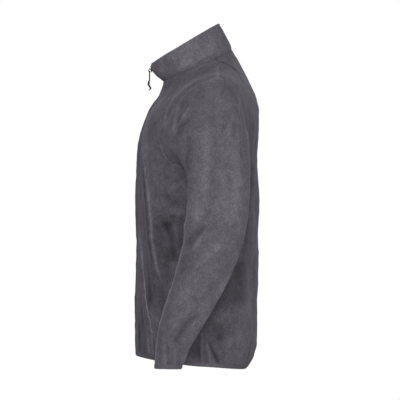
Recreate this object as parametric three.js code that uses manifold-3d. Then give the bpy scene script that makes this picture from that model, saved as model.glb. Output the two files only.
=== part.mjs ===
// Fleece zip jacket in its worn shape, hollow and empty, with the zip closed up to the collar.
// Millimetres. +Z is up, the front faces -Y and the wearer's left is +X.
// The origin is the centre of the collar seam, where the wearer's neck and shoulders carry the garment.
import * as THREE from "three";
import { mergeVertices } from "three/addons/utils/BufferGeometryUtils.js";
import Module from "manifold-3d";

const wasm = await Module();
wasm.setup();

// Cloth and bands
const fleeceWall = 3;
const seamGap = 0.3;
const bandHeight = 9;
const bandProud = 0.6;

// Zip: the fronts stop short of the centre line, and each tape lies behind its front's edge
const frontEdgeX = 7;
const tapeOuterX = 16;
const tapeInnerX = 2.9;
const tapeWall = 1.2;
const chainWidth = 5.2;
const chainWall = 2.6;
const chainSink = 1.3;

// Levels along the garment from the hem upwards, in millimetres of cloth
const underarmAt = 425;
const shoulderAt = 625;
const neckAt = 780;
const collarTopAt = 850;
const sliderAt = 817;

// How far each armhole is cut in from the side line, along the cloth
const armholeFrontCut = 126;
const armholeBackCut = 88;
const armholeBluntness = 0.88;

// Mesh density: cells between levels and across panels
const lowerCells = 17;
const armholeCells = 10;
const shoulderCells = 5;
const collarCells = 5;
const frontCells = 9;
const backHalfCells = 10;
const headCells = 7;
const tubeCells = 19;
const ringSamples = 28;

// Rings of the trunk and the collar: centre front, side line and centre back of each.
// sideX is the side line's half width, and bodyX the one that the rest of the ring follows.
// square is the exponent of the ring's outline (2 is an ellipse), crown how round it crosses the shoulder,
// and seam the place of the side or shoulder seam: 0.5 is the side line and 1 the centre back.
const trunkRings = [
  { at: -10, frontY: -136, frontZ: -637, sideX: 197, bodyX: 197, sideY: 9, sideZ: -657, backY: 103, backZ: -666, square: 2.6, crown: 1, seam: 0.5 },
  { at: 0, frontY: -137, frontZ: -627, sideX: 199, bodyX: 199, sideY: 9, sideZ: -647, backY: 112, backZ: -657, square: 2.6, crown: 1, seam: 0.5 },
  { at: 20, frontY: -138, frontZ: -607, sideX: 204, bodyX: 204, sideY: 9, sideZ: -627, backY: 123, backZ: -638, square: 2.6, crown: 1, seam: 0.5 },
  { at: 50, frontY: -138, frontZ: -577, sideX: 208, bodyX: 208, sideY: 10, sideZ: -597, backY: 130, backZ: -607, square: 2.6, crown: 1, seam: 0.5 },
  { at: 120, frontY: -137.5, frontZ: -509, sideX: 209, bodyX: 209, sideY: 12, sideZ: -527, backY: 130.5, backZ: -534, square: 2.6, crown: 1, seam: 0.5 },
  { at: 220, frontY: -135.5, frontZ: -417, sideX: 207, bodyX: 207, sideY: 15, sideZ: -429, backY: 130.5, backZ: -432, square: 2.6, crown: 1, seam: 0.5 },
  { at: 320, frontY: -135, frontZ: -328, sideX: 208, bodyX: 208, sideY: 20, sideZ: -332, backY: 130, backZ: -333, square: 2.6, crown: 1, seam: 0.5 },
  { at: 425, frontY: -133.5, frontZ: -240, sideX: 213, bodyX: 212, sideY: 26, sideZ: -232, backY: 130, backZ: -236, square: 2.5, crown: 1.2, seam: 0.5 },
  { at: 475, frontY: -132.5, frontZ: -200, sideX: 218, bodyX: 212, sideY: 30, sideZ: -183, backY: 131, backZ: -192, square: 2.5, crown: 1.4, seam: 0.5 },
  { at: 530, frontY: -128, frontZ: -160, sideX: 224, bodyX: 210, sideY: 34, sideZ: -125, backY: 134.5, backZ: -146, square: 2.45, crown: 1.7, seam: 0.5 },
  { at: 580, frontY: -116, frontZ: -121, sideX: 228, bodyX: 202, sideY: 39, sideZ: -72, backY: 133, backZ: -104, square: 2.35, crown: 2, seam: 0.5 },
  { at: 625, frontY: -104, frontZ: -95, sideX: 228, bodyX: 186, sideY: 44, sideZ: -32, backY: 126, backZ: -70, square: 2.2, crown: 2, seam: 0.5 },
  { at: 695, frontY: -85, frontZ: -65, sideX: 157, bodyX: 143, sideY: 41, sideZ: -11, backY: 102, backZ: -16, square: 2.1, crown: 1.8, seam: 0.5 },
  { at: 750, frontY: -78, frontZ: -47, sideX: 98, bodyX: 97, sideY: 28, sideZ: 5, backY: 84, backZ: 19, square: 2.05, crown: 1.4, seam: 0.56 },
  { at: 780, frontY: -76.5, frontZ: -35.5, sideX: 73, bodyX: 73, sideY: -0.5, sideZ: 0, backY: 75, backZ: 35, square: 2, crown: 1, seam: 0.665 },
  { at: 800, frontY: -93, frontZ: -21, sideX: 72.5, bodyX: 72.5, sideY: -10, sideZ: 14, backY: 69, backZ: 49, square: 2, crown: 1, seam: 0.665 },
  { at: 825, frontY: -105, frontZ: -4, sideX: 71, bodyX: 71, sideY: -20, sideZ: 32, backY: 58.5, backZ: 70, square: 2, crown: 1, seam: 0.665 },
  { at: 850, frontY: -102, frontZ: 7, sideX: 70, bodyX: 70, sideY: -26, sideZ: 51, backY: 46, backZ: 94, square: 2, crown: 1, seam: 0.665 },
];

// Rings of the left sleeve's tube from the upper arm to the wrist: centre, half sizes front to back and
// side to side, and the forward lean of the arm in degrees.
const sleeveRings = [
  { at: 0, x: 273, y: 46, z: -262, halfDepth: 68, halfWidth: 54, lean: 0 },
  { at: 68, x: 281, y: 41, z: -328, halfDepth: 66, halfWidth: 56, lean: 4 },
  { at: 122, x: 286, y: 33, z: -380, halfDepth: 65, halfWidth: 56, lean: 12 },
  { at: 168, x: 290, y: 20, z: -424, halfDepth: 61, halfWidth: 54, lean: 19 },
  { at: 220, x: 292, y: 1, z: -472, halfDepth: 55, halfWidth: 51, lean: 22 },
  { at: 280, x: 293, y: -22, z: -526, halfDepth: 49, halfWidth: 47, lean: 23 },
  { at: 333, x: 292, y: -43, z: -575, halfDepth: 43, halfWidth: 42, lean: 21 },
  { at: 375, x: 291, y: -55, z: -613, halfDepth: 37, halfWidth: 37, lean: 14 },
  { at: 398, x: 290, y: -60, z: -635, halfDepth: 33.5, halfWidth: 34, lean: 7 },
  { at: 412, x: 290, y: -63, z: -648.5, halfDepth: 30.5, halfWidth: 31, lean: 3 },
  { at: 422, x: 290, y: -64, z: -658.5, halfDepth: 28.5, halfWidth: 29, lean: 1 },
];
const sleeveSquare = 2.25;
const headLength = 170;
const cuffAt = 412;
const headPull = 0.85;
const armpitOpening = 60;
const shoulderOpening = 24;

// Soft folds. Each runs from one point to another in the view of its face (front and back: x, z; side and sleeve: y, z),
// bows sideways between them, and lifts the cloth, or sinks it where lift is negative.
// other is the share of the lift on the far side's like fold.
const trunkFolds = [
  { face: "front", fromA: 112, fromZ: -205, toA: 170, toZ: -462, bow: 10, width: 22, lift: 6, other: 0.9 },
  { face: "front", fromA: 60, fromZ: -180, toA: 118, toZ: -400, bow: 6, width: 24, lift: -3, other: 1.1 },
  { face: "front", fromA: 45, fromZ: -330, toA: 52, toZ: -600, bow: -6, width: 24, lift: -3, other: 0.8 },
  { face: "side", fromA: -64, fromZ: -292, toA: -42, toZ: -430, bow: -6, width: 20, lift: -8, other: 0.9 },
  { face: "side", fromA: -30, fromZ: -470, toA: -66, toZ: -600, bow: 8, width: 20, lift: -5, other: 0.9 },
  { face: "side", fromA: 100, fromZ: -360, toA: 84, toZ: -560, bow: 8, width: 24, lift: -6, other: 0.9 },
  { face: "side", fromA: 60, fromZ: -470, toA: 66, toZ: -610, bow: 6, width: 22, lift: 4, other: 0.8 },
  { face: "back", fromA: 70, fromZ: -130, toA: 150, toZ: -300, bow: 12, width: 26, lift: -4, other: 0.9 },
  { face: "back", fromA: 40, fromZ: -260, toA: 70, toZ: -500, bow: -8, width: 28, lift: 4, other: 0.7 },
  { face: "back", fromA: 120, fromZ: -420, toA: 96, toZ: -610, bow: 8, width: 24, lift: -4, other: 1.1 },
];
const sleeveFolds = [
  { fromA: -30, fromZ: -396, toA: 30, toZ: -338, bow: 7, width: 18, lift: -6, other: 0.9 },
  { fromA: 20, fromZ: -452, toA: 92, toZ: -392, bow: -6, width: 20, lift: -4, other: 1 },
  { fromA: -46, fromZ: -590, toA: 4, toZ: -536, bow: 8, width: 16, lift: -5, other: 0.9 },
  { fromA: 37, fromZ: -170, toA: 34, toZ: -300, bow: 3, width: 18, lift: -3, other: 1.1 },
  { fromA: -36, fromZ: -62, toA: -52, toZ: -152, bow: -5, width: 16, lift: -4, other: 1 },
];

// Hand pockets: a slanted strip of cloth over each opening, from its upper to its lower end as seen from the front
const pocketTopX = 104;
const pocketTopZ = -398;
const pocketBottomX = 154;
const pocketBottomZ = -588;
const pocketWidth = 20;
const pocketWall = 1.6;
const pocketReach = 150;
const pocketAt = 120;

// Slider and pull
const sliderWidth = 9;
const sliderLength = 11;
const sliderWall = 4.4;
const sliderLift = 1.5;
const bridgeWidth = 2.4;
const bridgeRise = 5;
const bridgeBar = 1.3;
const bridgeSpan = 7;
const pinRadius = 0.8;
const frameBar = 1.5;
const frameWidth = 6.4;
const frameLength = 9;
const tabWall = 2.6;
const tabWidth = 4.4;
const tabLength = 20.5;
const gripLength = 23;
const gripRadius = 2.5;
const gripSway = 1.9;
const gripSteps = 12;
const boxWidth = 10;
const boxLength = 12;

const fleeceMaterial = new THREE.MeshStandardMaterial({ color: 0x5f5d64, roughness: 0.95, metalness: 0 });
const bandMaterial = new THREE.MeshStandardMaterial({ color: 0x4b4950, roughness: 0.85, metalness: 0 });
const tapeMaterial = new THREE.MeshStandardMaterial({ color: 0x3c3a40, roughness: 0.8, metalness: 0 });
const coilMaterial = new THREE.MeshStandardMaterial({ color: 0x2c2b2f, roughness: 0.45, metalness: 0 });
const metalMaterial = new THREE.MeshStandardMaterial({ color: 0x2a2a2c, roughness: 0.35, metalness: 0.8 });
const gripMaterial = new THREE.MeshStandardMaterial({ color: 0x17171a, roughness: 0.6, metalness: 0 });

const jacket = new THREE.Group();
const quarterTurn = Math.PI / 2;

// A smooth curve through one column of a table, read at any level.
function track(table, key) {
  const steps = table.slice(1).map((row, i) => (row[key] - table[i][key]) / (row.at - table[i].at));
  const slopes = table.map((_, i) => {
    if (i === 0) return steps[0];
    if (i === table.length - 1) return steps[i - 1];
    const product = steps[i - 1] * steps[i];
    return product <= 0 ? 0 : (2 * product) / (steps[i - 1] + steps[i]);
  });
  return (at) => {
    let i = 0;
    while (i < table.length - 2 && at > table[i + 1].at) i += 1;
    const span = table[i + 1].at - table[i].at;
    const t = (at - table[i].at) / span;
    const rise = table[i + 1][key] - table[i][key];
    const bend = t * (1 - t) * span * ((1 - t) * (slopes[i] - rise / span) - t * (slopes[i + 1] - rise / span));
    return table[i][key] + rise * t + bend;
  };
}

function tracks(table) {
  const keys = Object.keys(table[0]).filter((key) => key !== "at");
  return Object.fromEntries(keys.map((key) => [key, track(table, key)]));
}

const trunk = tracks(trunkRings);
const sleeve = tracks(sleeveRings);

const power = (value, exponent) => Math.sign(value) * Math.abs(value) ** exponent;

// One quarter of a ring, from the side line (turn 0) to the centre front or back (turn 1).
function quarterPoint(at, toFront, turn) {
  const endY = toFront ? trunk.frontY(at) : trunk.backY(at);
  const endZ = toFront ? trunk.frontZ(at) : trunk.backZ(at);
  const exponent = 2 / trunk.square(at);
  const crown = trunk.crown(at);
  const along = Math.sin(turn * quarterTurn);
  const across = Math.cos(turn * quarterTurn);
  const dip = 1 - (1 - along ** crown) ** (1 + 1.5 * (crown - 1));
  const halfWidth = THREE.MathUtils.lerp(trunk.bodyX(at), trunk.sideX(at), across ** 4);
  return new THREE.Vector3(
    halfWidth * across ** exponent,
    trunk.sideY(at) + (endY - trunk.sideY(at)) * along ** exponent,
    trunk.sideZ(at) + (endZ - trunk.sideZ(at)) * dip,
  );
}

const quarterStore = new Map();

// The quarter's points with their distances from the side line.
function quarter(at, toFront) {
  const key = `${at.toFixed(5)} ${toFront}`;
  if (!quarterStore.has(key)) {
    const points = Array.from({ length: ringSamples + 1 }, (_, i) => quarterPoint(at, toFront, i / ringSamples));
    const distances = [0];
    for (let i = 1; i < points.length; i += 1) {
      distances.push(distances[i - 1] + points[i].distanceTo(points[i - 1]));
    }
    quarterStore.set(key, { points, distances, length: distances[ringSamples] });
  }
  return quarterStore.get(key);
}

// A ring's point by its share of the way round: 0 centre front, 0.5 side line, 1 centre back.
// Past the centre line it goes on round the other half.
function ringPoint(at, share) {
  const folded = share > 1 ? 2 - share : Math.abs(share);
  const mirror = share > 1 || share < 0 ? -1 : 1;
  const toFront = folded < 0.5;
  const { points, distances, length } = quarter(at, toFront);
  const distance = Math.min(Math.abs(folded - 0.5) * 2, 1) * length;
  let i = 0;
  while (i < ringSamples - 1 && distance > distances[i + 1]) i += 1;
  const t = (distance - distances[i]) / (distances[i + 1] - distances[i]);
  const point = points[i].clone().lerp(points[i + 1], t);
  point.x *= mirror;
  return point;
}

// Height of one fold at a point of its view: full along its middle, fading to its ends and sides.
function foldHeight(fold, a, z) {
  const runA = fold.toA - fold.fromA;
  const runZ = fold.toZ - fold.fromZ;
  const length = Math.hypot(runA, runZ);
  const t = ((a - fold.fromA) * runA + (z - fold.fromZ) * runZ) / length ** 2;
  if (t <= -0.15 || t >= 1.15) return 0;
  const side = ((a - fold.fromA) * -runZ + (z - fold.fromZ) * runA) / length;
  const bowed = side - fold.bow * 4 * t * (1 - t);
  const ends = Math.min(1, (t + 0.15) / 0.3, (1.15 - t) / 0.3);
  return fold.lift * ends * ends * (3 - 2 * ends) * Math.exp(-((bowed / fold.width) ** 2));
}

const facing = { front: [0, -1], back: [0, 1], side: [1, 0] };

// All the trunk's folds at a point with the given outward direction. The side's folds read y where the others read x.
function trunkLift(point, out) {
  const left = point.x >= 0;
  let lift = 0;
  for (const fold of trunkFolds) {
    const [faceX, faceY] = facing[fold.face];
    const towards = faceX * Math.abs(out.x) * Math.sign(point.x * out.x || 1) + faceY * out.y;
    const shown = THREE.MathUtils.smoothstep(towards, 0.05, 0.5);
    if (shown === 0) continue;
    const a = fold.face === "side" ? point.y : Math.abs(point.x);
    const shift = left ? 0 : 9;
    lift += foldHeight(fold, a + shift, point.z) * shown * (left ? 1 : fold.other);
  }
  return lift;
}

const direction = (from, to) => to.clone().sub(from).normalize();

function normalAt(surface, a, b, stepA, stepB) {
  const alongA = direction(surface(a - stepA, b), surface(a + stepA, b));
  const alongB = direction(surface(a, b - stepB), surface(a, b + stepB));
  return alongA.cross(alongB).normalize();
}

// The trunk's outer face with its folds.
function trunkPoint(at, share) {
  const base = ringPoint(at, share);
  const out = normalAt(ringPoint, at, share, 4, 0.01).negate();
  const fadeAtHem = THREE.MathUtils.smoothstep(at, -4, 40);
  return base.addScaledVector(out, trunkLift(base, out) * fadeAtHem);
}

const trunkNormal = (at, share) => normalAt(trunkPoint, at, share, 3, 0.008).negate();

// Share of the way round at a distance across the cloth from the centre front.
const shareFromFront = (at, distance) => distance / (2 * quarter(at, true).length);

// The armhole's edge on the trunk: turn 0 is the underarm, a half turn the shoulder point; the front comes first.
function armholePlace(turn) {
  const angle = turn * 2 * Math.PI;
  const at = underarmAt + (shoulderAt - underarmAt) * (1 - Math.cos(angle)) / 2;
  const cut = power(Math.sin(angle), armholeBluntness);
  const share = cut >= 0
    ? 0.5 - armholeFrontCut * cut / (2 * quarter(at, true).length)
    : 0.5 - armholeBackCut * cut / (2 * quarter(at, false).length);
  return { at, share };
}

const levelsBetween = (from, to, cells) => Array.from({ length: cells + 1 }, (_, i) => from + (to - from) * i / cells);

// Rows of the panels. Beside an armhole a row's outer end lies on the armhole and the rest of it is spaced evenly.
const armholeLevels = Array.from({ length: armholeCells + 1 }, (_, i) => armholePlace(i / armholeCells / 2).at);
const lowerLevels = levelsBetween(0, underarmAt, lowerCells).slice(0, -1);
const upperLevels = levelsBetween(shoulderAt, neckAt - seamGap / 2, shoulderCells);
const edgeLevels = [...lowerLevels, ...armholeLevels.slice(0, -1), ...upperLevels];
const panelLevels = [...lowerLevels, ...levelsBetween(underarmAt, shoulderAt, armholeCells).slice(0, -1), ...upperLevels];
const collarLevels = levelsBetween(neckAt + seamGap / 2, collarTopAt, collarCells);

// Where a panel's outer edge lies at each of its levels: the side seam, the armhole and then the shoulder seam.
function panelEdge(row, towardsBack) {
  const at = edgeLevels[row];
  const cell = row - lowerCells;
  if (cell > 0 && cell < armholeCells) {
    const turn = cell / armholeCells / 2;
    return armholePlace(towardsBack ? 1 - turn : turn).share;
  }
  const inset = seamGap / 4 / quarter(at, !towardsBack).length;
  return trunk.seam(at) + (towardsBack ? inset : -inset);
}

// Shares across a front panel: its cut edge, the line over the tape's edge, then even cells to the seam.
function frontShares(at, edge) {
  const first = shareFromFront(at, frontEdgeX);
  const second = shareFromFront(at, tapeOuterX);
  return [first, ...levelsBetween(second, edge, frontCells)];
}

// Shares across the back panel from the left seam over the centre to the right seam.
const backShares = (left) => [
  ...levelsBetween(left, 1, backHalfCells),
  ...levelsBetween(1, 2 - left, backHalfCells).slice(1),
];

const trunkPlace = (at, share) => ({ point: trunkPoint(at, share), out: trunkNormal(at, share) });

// The outer face of a piece of the trunk and its outward directions, as rows of points.
const trunkGrid = (levels, sharesOf) => levels.map((at) => sharesOf(at).map((share) => trunkPlace(at, share)));

// A panel's points. towardsEdge says how far each lies from the row's middle towards its outer end, from 0 to 1.
function panelGrid(sharesOf, towardsEdge) {
  return panelLevels.map((level, row) => sharesOf(level, row).map((share, column, shares) => {
    const bend = towardsEdge(column / (shares.length - 1)) ** 2;
    return trunkPlace(THREE.MathUtils.lerp(level, edgeLevels[row], bend), share);
  }));
}

const mirrorX = (grid) => grid.map((row) => row.map(({ point, out }) => ({
  point: new THREE.Vector3(-point.x, point.y, point.z),
  out: new THREE.Vector3(-out.x, out.y, out.z),
})));

// A closed solid from its vertices and faces, turned to face outwards if need be.
function solidGeometry(points, faces) {
  const corner = (i) => points[i];
  let volume = 0;
  for (const [a, b, c] of faces) volume += corner(a).dot(corner(b).clone().cross(corner(c)));
  const outward = volume > 0 ? faces : faces.map(([a, b, c]) => [a, c, b]);
  const geometry = new THREE.BufferGeometry().setFromPoints(points);
  geometry.setIndex(outward.flat());
  geometry.computeVertexNormals();
  return geometry;
}

// A wall of cloth between two heights above a grid's outer face. A round grid closes on itself along its rows.
function wallGeometry(grid, high, low, round = false) {
  const rows = grid.length;
  const columns = grid[0].length;
  const layer = rows * columns;
  const points = [high, low].flatMap((height) => grid.flat().map(({ point, out }) => point.clone().addScaledVector(out, height)));
  const faces = [];
  const id = (row, column, side) => side * layer + row * columns + (column % columns);
  const quad = (a, b, c, d) => faces.push([a, b, c], [a, c, d]);
  const lastColumn = round ? columns : columns - 1;
  for (let row = 0; row < rows - 1; row += 1) {
    for (let column = 0; column < lastColumn; column += 1) {
      quad(id(row, column, 0), id(row, column + 1, 0), id(row + 1, column + 1, 0), id(row + 1, column, 0));
      quad(id(row, column, 1), id(row + 1, column, 1), id(row + 1, column + 1, 1), id(row, column + 1, 1));
    }
  }
  for (let column = 0; column < lastColumn; column += 1) {
    quad(id(0, column, 0), id(0, column, 1), id(0, column + 1, 1), id(0, column + 1, 0));
    quad(id(rows - 1, column, 0), id(rows - 1, column + 1, 0), id(rows - 1, column + 1, 1), id(rows - 1, column, 1));
  }
  for (let row = 0; row < rows - 1 && !round; row += 1) {
    quad(id(row, 0, 0), id(row + 1, 0, 0), id(row + 1, 0, 1), id(row, 0, 1));
    quad(id(row, columns - 1, 0), id(row, columns - 1, 1), id(row + 1, columns - 1, 1), id(row + 1, columns - 1, 0));
  }
  return solidGeometry(points, faces);
}

function addPiece(name, geometry, material) {
  const mesh = new THREE.Mesh(geometry, material);
  mesh.name = name;
  jacket.add(mesh);
  return mesh;
}

// Front and back panels
const frontSide = (side) => panelGrid((at, row) => {
  const shares = frontShares(at, panelEdge(row, false));
  return side > 0 ? shares : shares.map((share) => -share);
}, (across) => across);
const frontLeft = frontSide(1);
const frontRight = frontSide(-1);
const backPanel = panelGrid((at, row) => backShares(panelEdge(row, true)), (across) => Math.abs(2 * across - 1));
addPiece("front_left", wallGeometry(frontLeft, 0, -fleeceWall), fleeceMaterial);
addPiece("front_right", wallGeometry(frontRight, 0, -fleeceWall), fleeceMaterial);
addPiece("back", wallGeometry(backPanel, 0, -fleeceWall), fleeceMaterial);

// The way round the neck or the hem from the left zip edge over the back to the right zip edge
function roundShares(at) {
  const seam = trunk.seam(at);
  const front = frontShares(at, seam);
  const back = backShares(seam).slice(1, -1);
  return [...front, ...back, ...front.map((share) => 2 - share).reverse()];
}

// Collar: one standing piece round the neck, with the same points along its seam as the panels
const collarShares = roundShares(neckAt);
const collarGrid = trunkGrid(collarLevels, () => collarShares);
addPiece("collar", wallGeometry(collarGrid, 0, -fleeceWall), fleeceMaterial);

// Elastic band bound round the hem
const hemGrid = trunkGrid([-bandHeight - seamGap, -seamGap], roundShares);
addPiece("hem_band", wallGeometry(hemGrid, bandProud, -fleeceWall - bandProud), bandMaterial);

// The armhole's edge as points of the trunk, with the cloth's way on into the hole.
function armholeEdge(turn) {
  const place = armholePlace(turn);
  const step = 0.004;
  const before = armholePlace(turn - step);
  const after = armholePlace(turn + step);
  const edge = trunkPoint(place.at, place.share);
  const out = trunkNormal(place.at, place.share);
  const along = direction(trunkPoint(before.at, before.share), trunkPoint(after.at, after.share));
  const into = along.cross(out).normalize();
  return { edge, out, into };
}

// The tube's outline at a level, with its lean.
function tubePoint(at, turn) {
  const angle = turn * 2 * Math.PI;
  const lean = THREE.MathUtils.degToRad(sleeve.lean(at));
  const width = -sleeve.halfWidth(at) * power(Math.cos(angle), 2 / sleeveSquare);
  const depth = -sleeve.halfDepth(at) * power(Math.sin(angle), 2 / sleeveSquare);
  return new THREE.Vector3(
    sleeve.x(at) + width,
    sleeve.y(at) + depth * Math.cos(lean),
    sleeve.z(at) - depth * Math.sin(lean),
  );
}

const armholeStore = new Map();

function storedEdge(turn) {
  const key = turn.toFixed(6);
  if (!armholeStore.has(key)) armholeStore.set(key, armholeEdge(turn));
  return armholeStore.get(key);
}

// The sleeve's face without folds: a head swung from the armhole into the tube, then the tube itself.
function sleeveBase(at, turn) {
  if (at >= 0) return tubePoint(at, turn);
  const { edge, out, into } = storedEdge(((turn % 1) + 1) % 1);
  const start = edge.clone().addScaledVector(into, seamGap);
  const end = tubePoint(0, turn);
  const reach = start.distanceTo(end) * headPull;
  const low = (1 + Math.cos(turn * 2 * Math.PI)) / 2;
  const opening = THREE.MathUtils.degToRad(armpitOpening * low + shoulderOpening * (1 - low));
  const leave = into.clone().multiplyScalar(Math.cos(opening)).addScaledVector(out, Math.sin(opening));
  const t = Math.max(0, 1 + at / headLength);
  const a = (1 + 2 * t) * (1 - t) ** 2;
  const b = t * (1 - t) ** 2 * reach;
  const c = t * t * (3 - 2 * t);
  const d = t * t * (1 - t) * reach;
  return start.multiplyScalar(a).addScaledVector(leave, b).addScaledVector(end, c).add(new THREE.Vector3(0, 0, d));
}

function sleevePoint(at, turn, share) {
  const base = sleeveBase(at, turn);
  const outer = THREE.MathUtils.smoothstep(-Math.cos(turn * 2 * Math.PI), -0.25, 0.45);
  const fade = THREE.MathUtils.smoothstep(at, -headLength, -headLength * 0.75);
  const towardsCuff = 1 - THREE.MathUtils.smoothstep(at, cuffAt - 35, cuffAt);
  let lift = 0;
  for (const fold of sleeveFolds) lift += foldHeight(fold, base.y, base.z) * (share ? 1 : fold.other);
  if (lift === 0 || outer === 0) return base;
  const out = normalAt(sleeveBase, at, turn, 3, 0.008);
  return base.addScaledVector(out, lift * outer * fade * towardsCuff);
}

const sleeveTurns = levelsBetween(0, 1, armholeCells * 2).slice(0, -1);
const sleeveLevels = [
  ...levelsBetween(-headLength, 0, headCells).slice(0, -1),
  ...levelsBetween(0, cuffAt, tubeCells),
];

function sleeveGrid(levels, leftSide) {
  const surface = (at, turn) => sleevePoint(at, turn, leftSide);
  const grid = levels.map((at) => sleeveTurns.map((turn) => ({
    point: surface(at, turn),
    out: at < -headLength + 1
      ? direction(surface(at, turn), surface(at + 3, turn)).cross(direction(surface(at, turn - 0.008), surface(at, turn + 0.008))).normalize()
      : normalAt(surface, at, turn, 3, 0.008),
  })));
  return leftSide ? grid : mirrorX(grid);
}

// Sleeves, each a closed tube from the armhole to the wrist, and the elastic band bound round its end
for (const side of ["left", "right"]) {
  const isLeft = side === "left";
  addPiece(`sleeve_${side}`, wallGeometry(sleeveGrid(sleeveLevels, isLeft), 0, -fleeceWall, true), fleeceMaterial);
  const cuffGrid = sleeveGrid([cuffAt + seamGap, cuffAt + seamGap + bandHeight], isLeft);
  addPiece(`cuff_band_${side}`, wallGeometry(cuffGrid, bandProud, -fleeceWall - bandProud, true), bandMaterial);
}

// Zip: levels from the bottom of the hem band to the top of the collar
const zipLevels = [-bandHeight - seamGap, ...panelLevels, ...collarLevels];

// Tapes, sewn behind the fronts' edges
for (const side of ["left", "right"]) {
  const sign = side === "left" ? 1 : -1;
  const grid = trunkGrid(zipLevels, (at) =>
    [tapeInnerX, frontEdgeX, tapeOuterX].map((x) => sign * shareFromFront(at, x)));
  const depth = -fleeceWall - bandProud - seamGap;
  addPiece(`zip_tape_${side}`, wallGeometry(grid, depth, depth - tapeWall), tapeMaterial);
}

// Closed chain of the zip, from the box at its foot up to the slider
function chainGrid(levels, halfWidth) {
  return levels.map((at) => [-halfWidth, halfWidth].map((x) => {
    const middle = trunkPoint(at, 0);
    const out = trunkNormal(at, 0);
    return { point: new THREE.Vector3(x, middle.y, middle.z), out: new THREE.Vector3(0, out.y, out.z).normalize() };
  }));
}

const boxFootAt = -bandHeight;
const chainFootAt = boxFootAt + boxLength + seamGap;
const clothPerLevel = trunkPoint(sliderAt - 10, 0).distanceTo(trunkPoint(sliderAt, 0)) / 10;
const chainTopAt = sliderAt - (sliderLength / 2 + 2 * seamGap) / clothPerLevel;
const chainLevels = [chainFootAt, ...zipLevels.filter((at) => at > chainFootAt + 2 && at < chainTopAt - 2), chainTopAt];
addPiece("zip_chain", wallGeometry(chainGrid(chainLevels, chainWidth / 2), -chainSink, -chainSink - chainWall), coilMaterial);
addPiece("zip_box", wallGeometry(chainGrid([boxFootAt, boxFootAt + boxLength], boxWidth / 2), 0.4, -chainSink - chainWall / 2), coilMaterial);

// Manifold solids, used only to join and cut the slider, its bridge and the pull
function toSolid(geometry) {
  const bare = geometry.index ? geometry.toNonIndexed() : geometry.clone();
  bare.deleteAttribute("normal");
  bare.deleteAttribute("uv");
  const merged = mergeVertices(bare, 1e-4);
  const corners = Array.from(merged.index.array);
  const faces = [];
  for (let i = 0; i < corners.length; i += 3) {
    const [a, b, c] = corners.slice(i, i + 3);
    if (a !== b && b !== c && c !== a) faces.push(a, b, c);
  }
  return new wasm.Manifold(new wasm.Mesh({
    numProp: 3,
    vertProperties: merged.attributes.position.array,
    triVerts: new Uint32Array(faces),
  }));
}

function toGeometry(solid) {
  const { vertProperties, triVerts } = solid.getMesh();
  const geometry = new THREE.BufferGeometry();
  geometry.setAttribute("position", new THREE.BufferAttribute(new Float32Array(vertProperties), 3));
  geometry.setIndex(new THREE.BufferAttribute(new Uint32Array(triVerts), 1));
  geometry.computeVertexNormals();
  return geometry;
}

const joined = (geometries) => geometries.map(toSolid).reduce((whole, piece) => whole.add(piece));

function roundedOutline(width, length, radius) {
  const outline = new THREE.Shape();
  const x = width / 2 - radius;
  const y = length / 2 - radius;
  outline.absarc(x, y, radius, 0, quarterTurn, false);
  outline.absarc(-x, y, radius, quarterTurn, 2 * quarterTurn, false);
  outline.absarc(-x, -y, radius, 2 * quarterTurn, 3 * quarterTurn, false);
  outline.absarc(x, -y, radius, 3 * quarterTurn, 4 * quarterTurn, false);
  outline.closePath();
  return outline;
}

const extruded = (shape, depth, curveSegments = 3) =>
  new THREE.ExtrudeGeometry(shape, { depth, bevelEnabled: false, curveSegments });

// Slider's own frame: x across the zip, y up along it, z out of the cloth. Its body and its arched bridge are one casting.
function sliderSolid() {
  const body = extruded(roundedOutline(sliderWidth, sliderLength, 2.4), sliderWall).translate(0, 0, sliderLift - sliderWall);
  const foot = sliderLift - 0.5;
  const top = sliderLift + bridgeRise;
  const end = bridgeSpan / 2;
  const corners = (list) => list.map(([x, y]) => new THREE.Vector2(x, y));
  const arch = new THREE.Shape(corners([
    [-end, foot], [end, foot], [end, top - 1.6], [end - 0.5, top - 0.5], [end - 1.6, top],
    [1.6 - end, top], [0.5 - end, top - 0.5], [-end, top - 1.6],
  ]));
  arch.holes.push(new THREE.Path(corners([
    [bridgeBar - end, sliderLift], [bridgeBar - end, top - bridgeBar],
    [end - bridgeBar, top - bridgeBar], [end - bridgeBar, sliderLift],
  ])));
  const bridge = extruded(arch, bridgeWidth).translate(0, 0, -bridgeWidth / 2);
  bridge.applyMatrix4(new THREE.Matrix4().makeBasis(
    new THREE.Vector3(0, 1, 0), new THREE.Vector3(0, 0, 1), new THREE.Vector3(1, 0, 0)));
  return toGeometry(joined([body, bridge]));
}

const sliderMiddle = trunkPoint(sliderAt, 0);
const sliderOut = trunkNormal(sliderAt, 0);
const sliderUp = new THREE.Vector3(1, 0, 0).cross(sliderOut).multiplyScalar(-1);
const slider = addPiece("zip_slider", sliderSolid(), metalMaterial);
slider.position.copy(sliderMiddle);
slider.quaternion.setFromRotationMatrix(
  new THREE.Matrix4().makeBasis(new THREE.Vector3(1, 0, 0), sliderUp, sliderOut));

// Pull: a frame whose top bar lies in the bridge's eye, a flat tab, and a moulded grip pressed on its end.
// It hangs straight down. Its own frame has the bar's centre line as x and the way down as -z.
const eyeHeight = sliderLift + bridgeRise - bridgeBar - pinRadius - 0.35;
const pivot = sliderMiddle.clone().addScaledVector(sliderOut, eyeHeight);

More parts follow.
